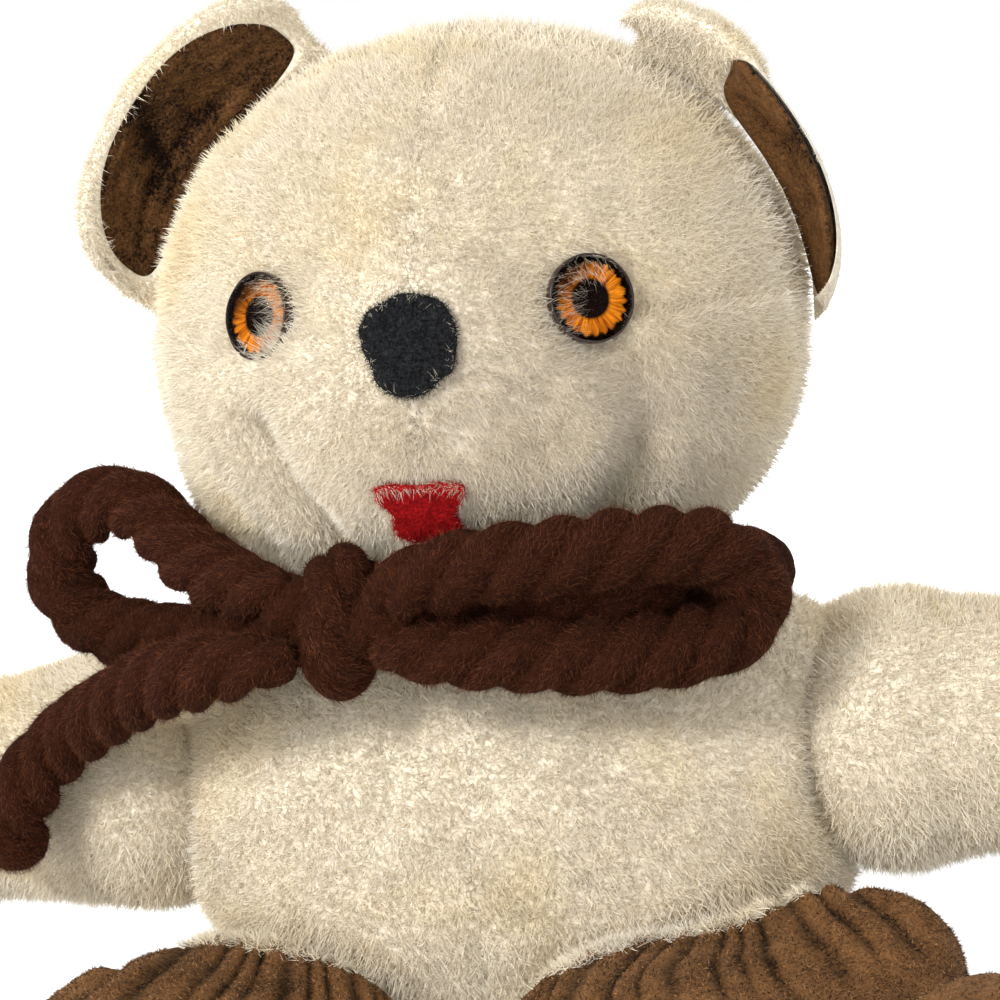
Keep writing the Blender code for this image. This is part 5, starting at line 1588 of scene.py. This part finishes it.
def wool_piece(name, points, faces, maps):
    """A piece of roving, with a map along it that doesn't jump where it closes."""
    made = piece(name, points, faces, "wool")
    layer = made.data.uv_layers.new(name="strand")
    for face in made.data.polygons:
        first = maps[made.data.loops[face.loop_start].vertex_index]
        for i in face.loop_indices:
            u, v = maps[made.data.loops[i].vertex_index]
            layer.data[i].uv = (u - round(u - first[0]), v if abs(v - first[1]) < 0.5 else first[1])
    return face_outwards(made, weld=False)


def strand_piece(name, rings, fibres, maps):
    """A strand with rounded ends, and the way that its fibres run at each point."""
    caps = []
    for end, inner in ((0, 1), (-1, -2)):
        middle = rings[end].mean(axis=0)
        way = middle - rings[inner].mean(axis=0)
        way /= np.linalg.norm(way)
        reach = np.linalg.norm(rings[end] - middle, axis=1).mean() * CAP_LENGTH
        cap = [middle + (rings[end] - middle) * cos(t) + way * reach * sin(t) for t in CAP_TURNS]
        caps.append((cap, middle + way * reach))

    def capped(values):
        more = len(CAP_TURNS)
        whole = np.concatenate([[values[0]] * more, values, [values[-1]] * more])
        return np.vstack([whole.reshape(-1, whole.shape[-1]), [values[0][0], values[-1][0]]])

    points, faces = loft([*reversed(caps[0][0]), *rings, *caps[1][0]], caps[0][1], caps[1][1])
    return wool_piece(name, points, faces, capped(maps)), capped(fibres)


def fuzz_on(made, ways, name, seed):
    points = points_of(made)
    in_front = smooth_step(-points[:, 1], 20 * MM, 45 * MM)
    mark_hair(made, 0.25 + 0.75 * in_front, 1.0 + 0.5 * lumps(points, 5 * MM, seed), ways * 0.8)
    fluff = grow(made, name, "wool", seed)
    drop_marks(made)
    return fluff


def make_strand(name, route, seed):
    line = smooth_route(route)
    rings, fibres, maps, length = strand(line, seed)
    made, ways = strand_piece(name, rings, fibres, maps)
    fluff = fuzz_on(made, ways, name + "_fuzz", seed)
    settle("body", "brown_wool_roving", made, fluff)
    return made, fluff, line[:, :3], length


def make_tie():
    fuller = [(x, y - WRAP_FORWARD * near, z + WRAP_UP * near, thick) for x, y, z, thick in NECK_ROUTE
              for near in [float(y < -55 and x > -40)]]
    wrap, _, _, _ = make_strand("yarn_neck_wrap_roving", fuller, 71)
    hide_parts("yarn_neck_wrap")
    for word, route, seed, end in (("bow_left", BOW_LEFT_ROUTE, 73, "object"),
                                   ("bow_right", BOW_RIGHT_ROUTE, 75, "object"), ("tail", TAIL_ROUTE, 77, "bare")):
        made, fluff, line, length = make_strand(f"yarn_{word}_roving", route, seed)
        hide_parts(f"yarn_{word}")
        tuple(line[0])
        [tuple(p) for p in line]
    make_knot()


def make_knot():
    """One turn of the roving round the crossing of the bow, over a short core that joins the loops."""
    bow_way = np.array((31.0, -11, 0))
    bow_way /= np.linalg.norm(bow_way)
    outwards = np.array((bow_way[1], -bow_way[0], 0))
    turns = full_turn(BAND_STEPS)
    loop = KNOT + np.outer(np.sin(turns) * 6.5 * MM, outwards) + np.outer(np.cos(turns) * 12 * MM, UP)
    loop = loop + np.outer(np.sin(turns + 0.6) * 1.8 * MM, bow_way)
    band_route = np.column_stack([loop, 0.86 + 0.06 * np.cos(turns * 2 + 0.5)])
    length = np.sum(np.linalg.norm(loop - np.roll(loop, -1, axis=0), axis=1))
    rings, fibres, maps, _ = strand(band_route, 79, closed=True, pitch=length / 2)
    start, end = KNOT - bow_way * CORE_HALF_LENGTH * MM, KNOT + bow_way * CORE_HALF_LENGTH * MM
    core_route = np.array([(*(start + (end - start) * t), 0.92) for t in np.linspace(0, 1, CORE_STEPS)])
    core, core_ways = strand_piece("yarn_knot_core", *strand(core_route, 81, flat=CORE_FLAT)[:3])
    faces = tube_faces(BAND_STEPS, STRAND_SIDES, closed=True)
    band = wool_piece("yarn_knot_band", rings.reshape(-1, 3), faces, maps.reshape(-1, 2))
    fluff = fuzz_on(band, fibres.reshape(-1, 3), "yarn_knot_band_fuzz", 79)
    core_fluff = fuzz_on(core, core_ways, "yarn_knot_core_fuzz", 81)
    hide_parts("yarn_knot")
    settle("body", "brown_wool_roving", band, core, fluff, core_fluff)


# Thread and stuffing

BACK_SEAM_LENGTH, BACK_SEAM_OUT = 74 * MM, 1.2 * MM
WAD_GRAIN, WAD_INSET, LEG_WAD_INSET = 5 * MM, 5 * MM, 8 * MM


def make_back_seam():
    heights = np.linspace(WAIST[2] - BACK_SEAM_LENGTH / 2, WAIST[2] + BACK_SEAM_LENGTH / 2, 40)
    skin = np.array([body_side(pi, h) for h in heights])
    line = skin + np.array((0, BACK_SEAM_OUT, 0))
    ways = np.gradient(skin, axis=0)
    mesh = bpy.data.meshes.new("back_seam_line")
    mesh.from_pydata([tuple(p) for p in line], [(i, i + 1) for i in range(len(line) - 1)], [])
    guide = add_object("back_seam_line", mesh)
    mark(guide, "outwards", np.stack([0 * ways[:, 0], ways[:, 2], -ways[:, 1]], -1))
    made = made_by(STITCHES, guide, "back_seam_stitches", look=LOOKS["thread"])
    bpy.data.objects.remove(guide)
    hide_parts("back_seam_thread")
    settle("body", "cream_thread", made)


def make_wad(name, body):
    """Cotton stuffing: the solid's own form, teased into lumps."""
    wad = add_object(name + "_wad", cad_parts[name].data.copy())
    shape = bmesh.new()
    shape.from_mesh(wad.data)
    bmesh.ops.remove_doubles(shape, verts=shape.verts, dist=0.01 * MM)
    shape.to_mesh(wad.data)
    shape.free()
    remesh = wad.modifiers.new("even", "REMESH")
    remesh.mode = "VOXEL"
    remesh.voxel_size = WAD_GRAIN
    made = plain_mesh(wad, name + "_lumps")
    bpy.data.objects.remove(wad)
    points, ways = points_of(made), points_of(made, "normal")
    inset = LEG_WAD_INSET if name.startswith("leg") else WAD_INSET
    set_points(made, points - ways * (inset + 1.2 * MM * lumps(points, 16 * MM, 91))[:, None])
    made.data.materials.clear()
    made.data.materials.append(LOOKS["cotton"])
    made.data.shade_smooth()
    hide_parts(name)
    settle(body, "cotton_stuffing", made)


# Floor, light and camera

FLOOR_HALF = 6.0
# Each lamp: name, place, size and power
LAMPS = (
    ("key", (-0.7, -1.75, 1.2), 0.45, 31.0),
    ("fill", (1.2, -1.4, 0.5), 1.4, 6.0),
    ("low", (-1.2, -1.3, 0.35), 1.2, 10.5),
    ("rear", (0.3, 1.6, 1.2), 1.4, 9.0),
)
LAMPS_AIM = Vector((0, 0, 0.15))


def floor_glow(tree):
    """The floor pales away from the bear into the studio's white, for the camera only."""
    from_middle = flow(tree, "ShaderNodeVectorMath", {"operation": "LENGTH"}, place_of(tree), output="Value")
    seen = flow(tree, "ShaderNodeLightPath", output="Is Camera Ray")
    return {"Emission_Strength": spread(from_middle, 0.2, 0.9, 0.45, 1.0) * seen}


def make_stage():
    plain = bpy.data.meshes.new("floor")
    corners = [(x * FLOOR_HALF, y * FLOOR_HALF, 0) for x, y in ((-1, -1), (1, -1), (1, 1), (-1, 1))]
    plain.from_pydata(corners, [], [(0, 1, 2, 3)])
    plain.materials.append(finish_material(
        "pale_floor", floor_glow, Base_Color=(0.8, 0.8, 0.8, 1), Roughness=0.95, Specular_IOR_Level=0.1,
        Emission_Color=(1, 1, 1, 1)))
    add_object("floor", plain)
    world = bpy.data.worlds.new("pale_studio")
    bpy.context.scene.world = world
    world.use_nodes = True
    back = world.node_tree.nodes["Background"]
    back.inputs["Color"].default_value = (1, 1, 1, 1)
    seen = flow(world.node_tree, "ShaderNodeLightPath", output="Is Camera Ray")
    wire(world.node_tree, spread(seen, 0.0, 1.0, 0.7, 1.0), back.inputs["Strength"])
    for name, at, size, power in LAMPS:
        lamp = bpy.data.lights.new(name, "AREA")
        lamp.size = size
        lamp.energy = power
        obj = add_object(name, lamp)
        obj.location = at
        obj.rotation_euler = (LAMPS_AIM - Vector(at)).to_track_quat("-Z", "Y").to_euler()


def make_camera():
    lens = bpy.data.cameras.new("camera")
    lens.lens = CAMERA_LENS
    lens.sensor_width = 36
    camera = add_object("camera", lens)
    look = Vector(CAMERA_LOOK)
    camera.location = CAMERA_TARGET - look * CAMERA_DISTANCE
    level = look.to_track_quat("-Z", "Y").to_matrix()
    camera.rotation_euler = (Matrix.Rotation(CAMERA_ROLL, 3, look) @ level).to_euler()
    bpy.context.scene.camera = camera
    bpy.context.scene.view_settings.view_transform = "Standard"


make_stage()
make_camera()
make_tie()
make_head()
make_face()
make_body()
for side, word in SIDES:
    make_eye(side, word)
    make_ear(side, word)
    make_arm(side, word)
    make_leg(side, word)
make_back_seam()
for body in ("body", "head", "arm_left", "arm_right", "leg_left", "leg_right"):
    make_wad(body + "_stuffing", body)
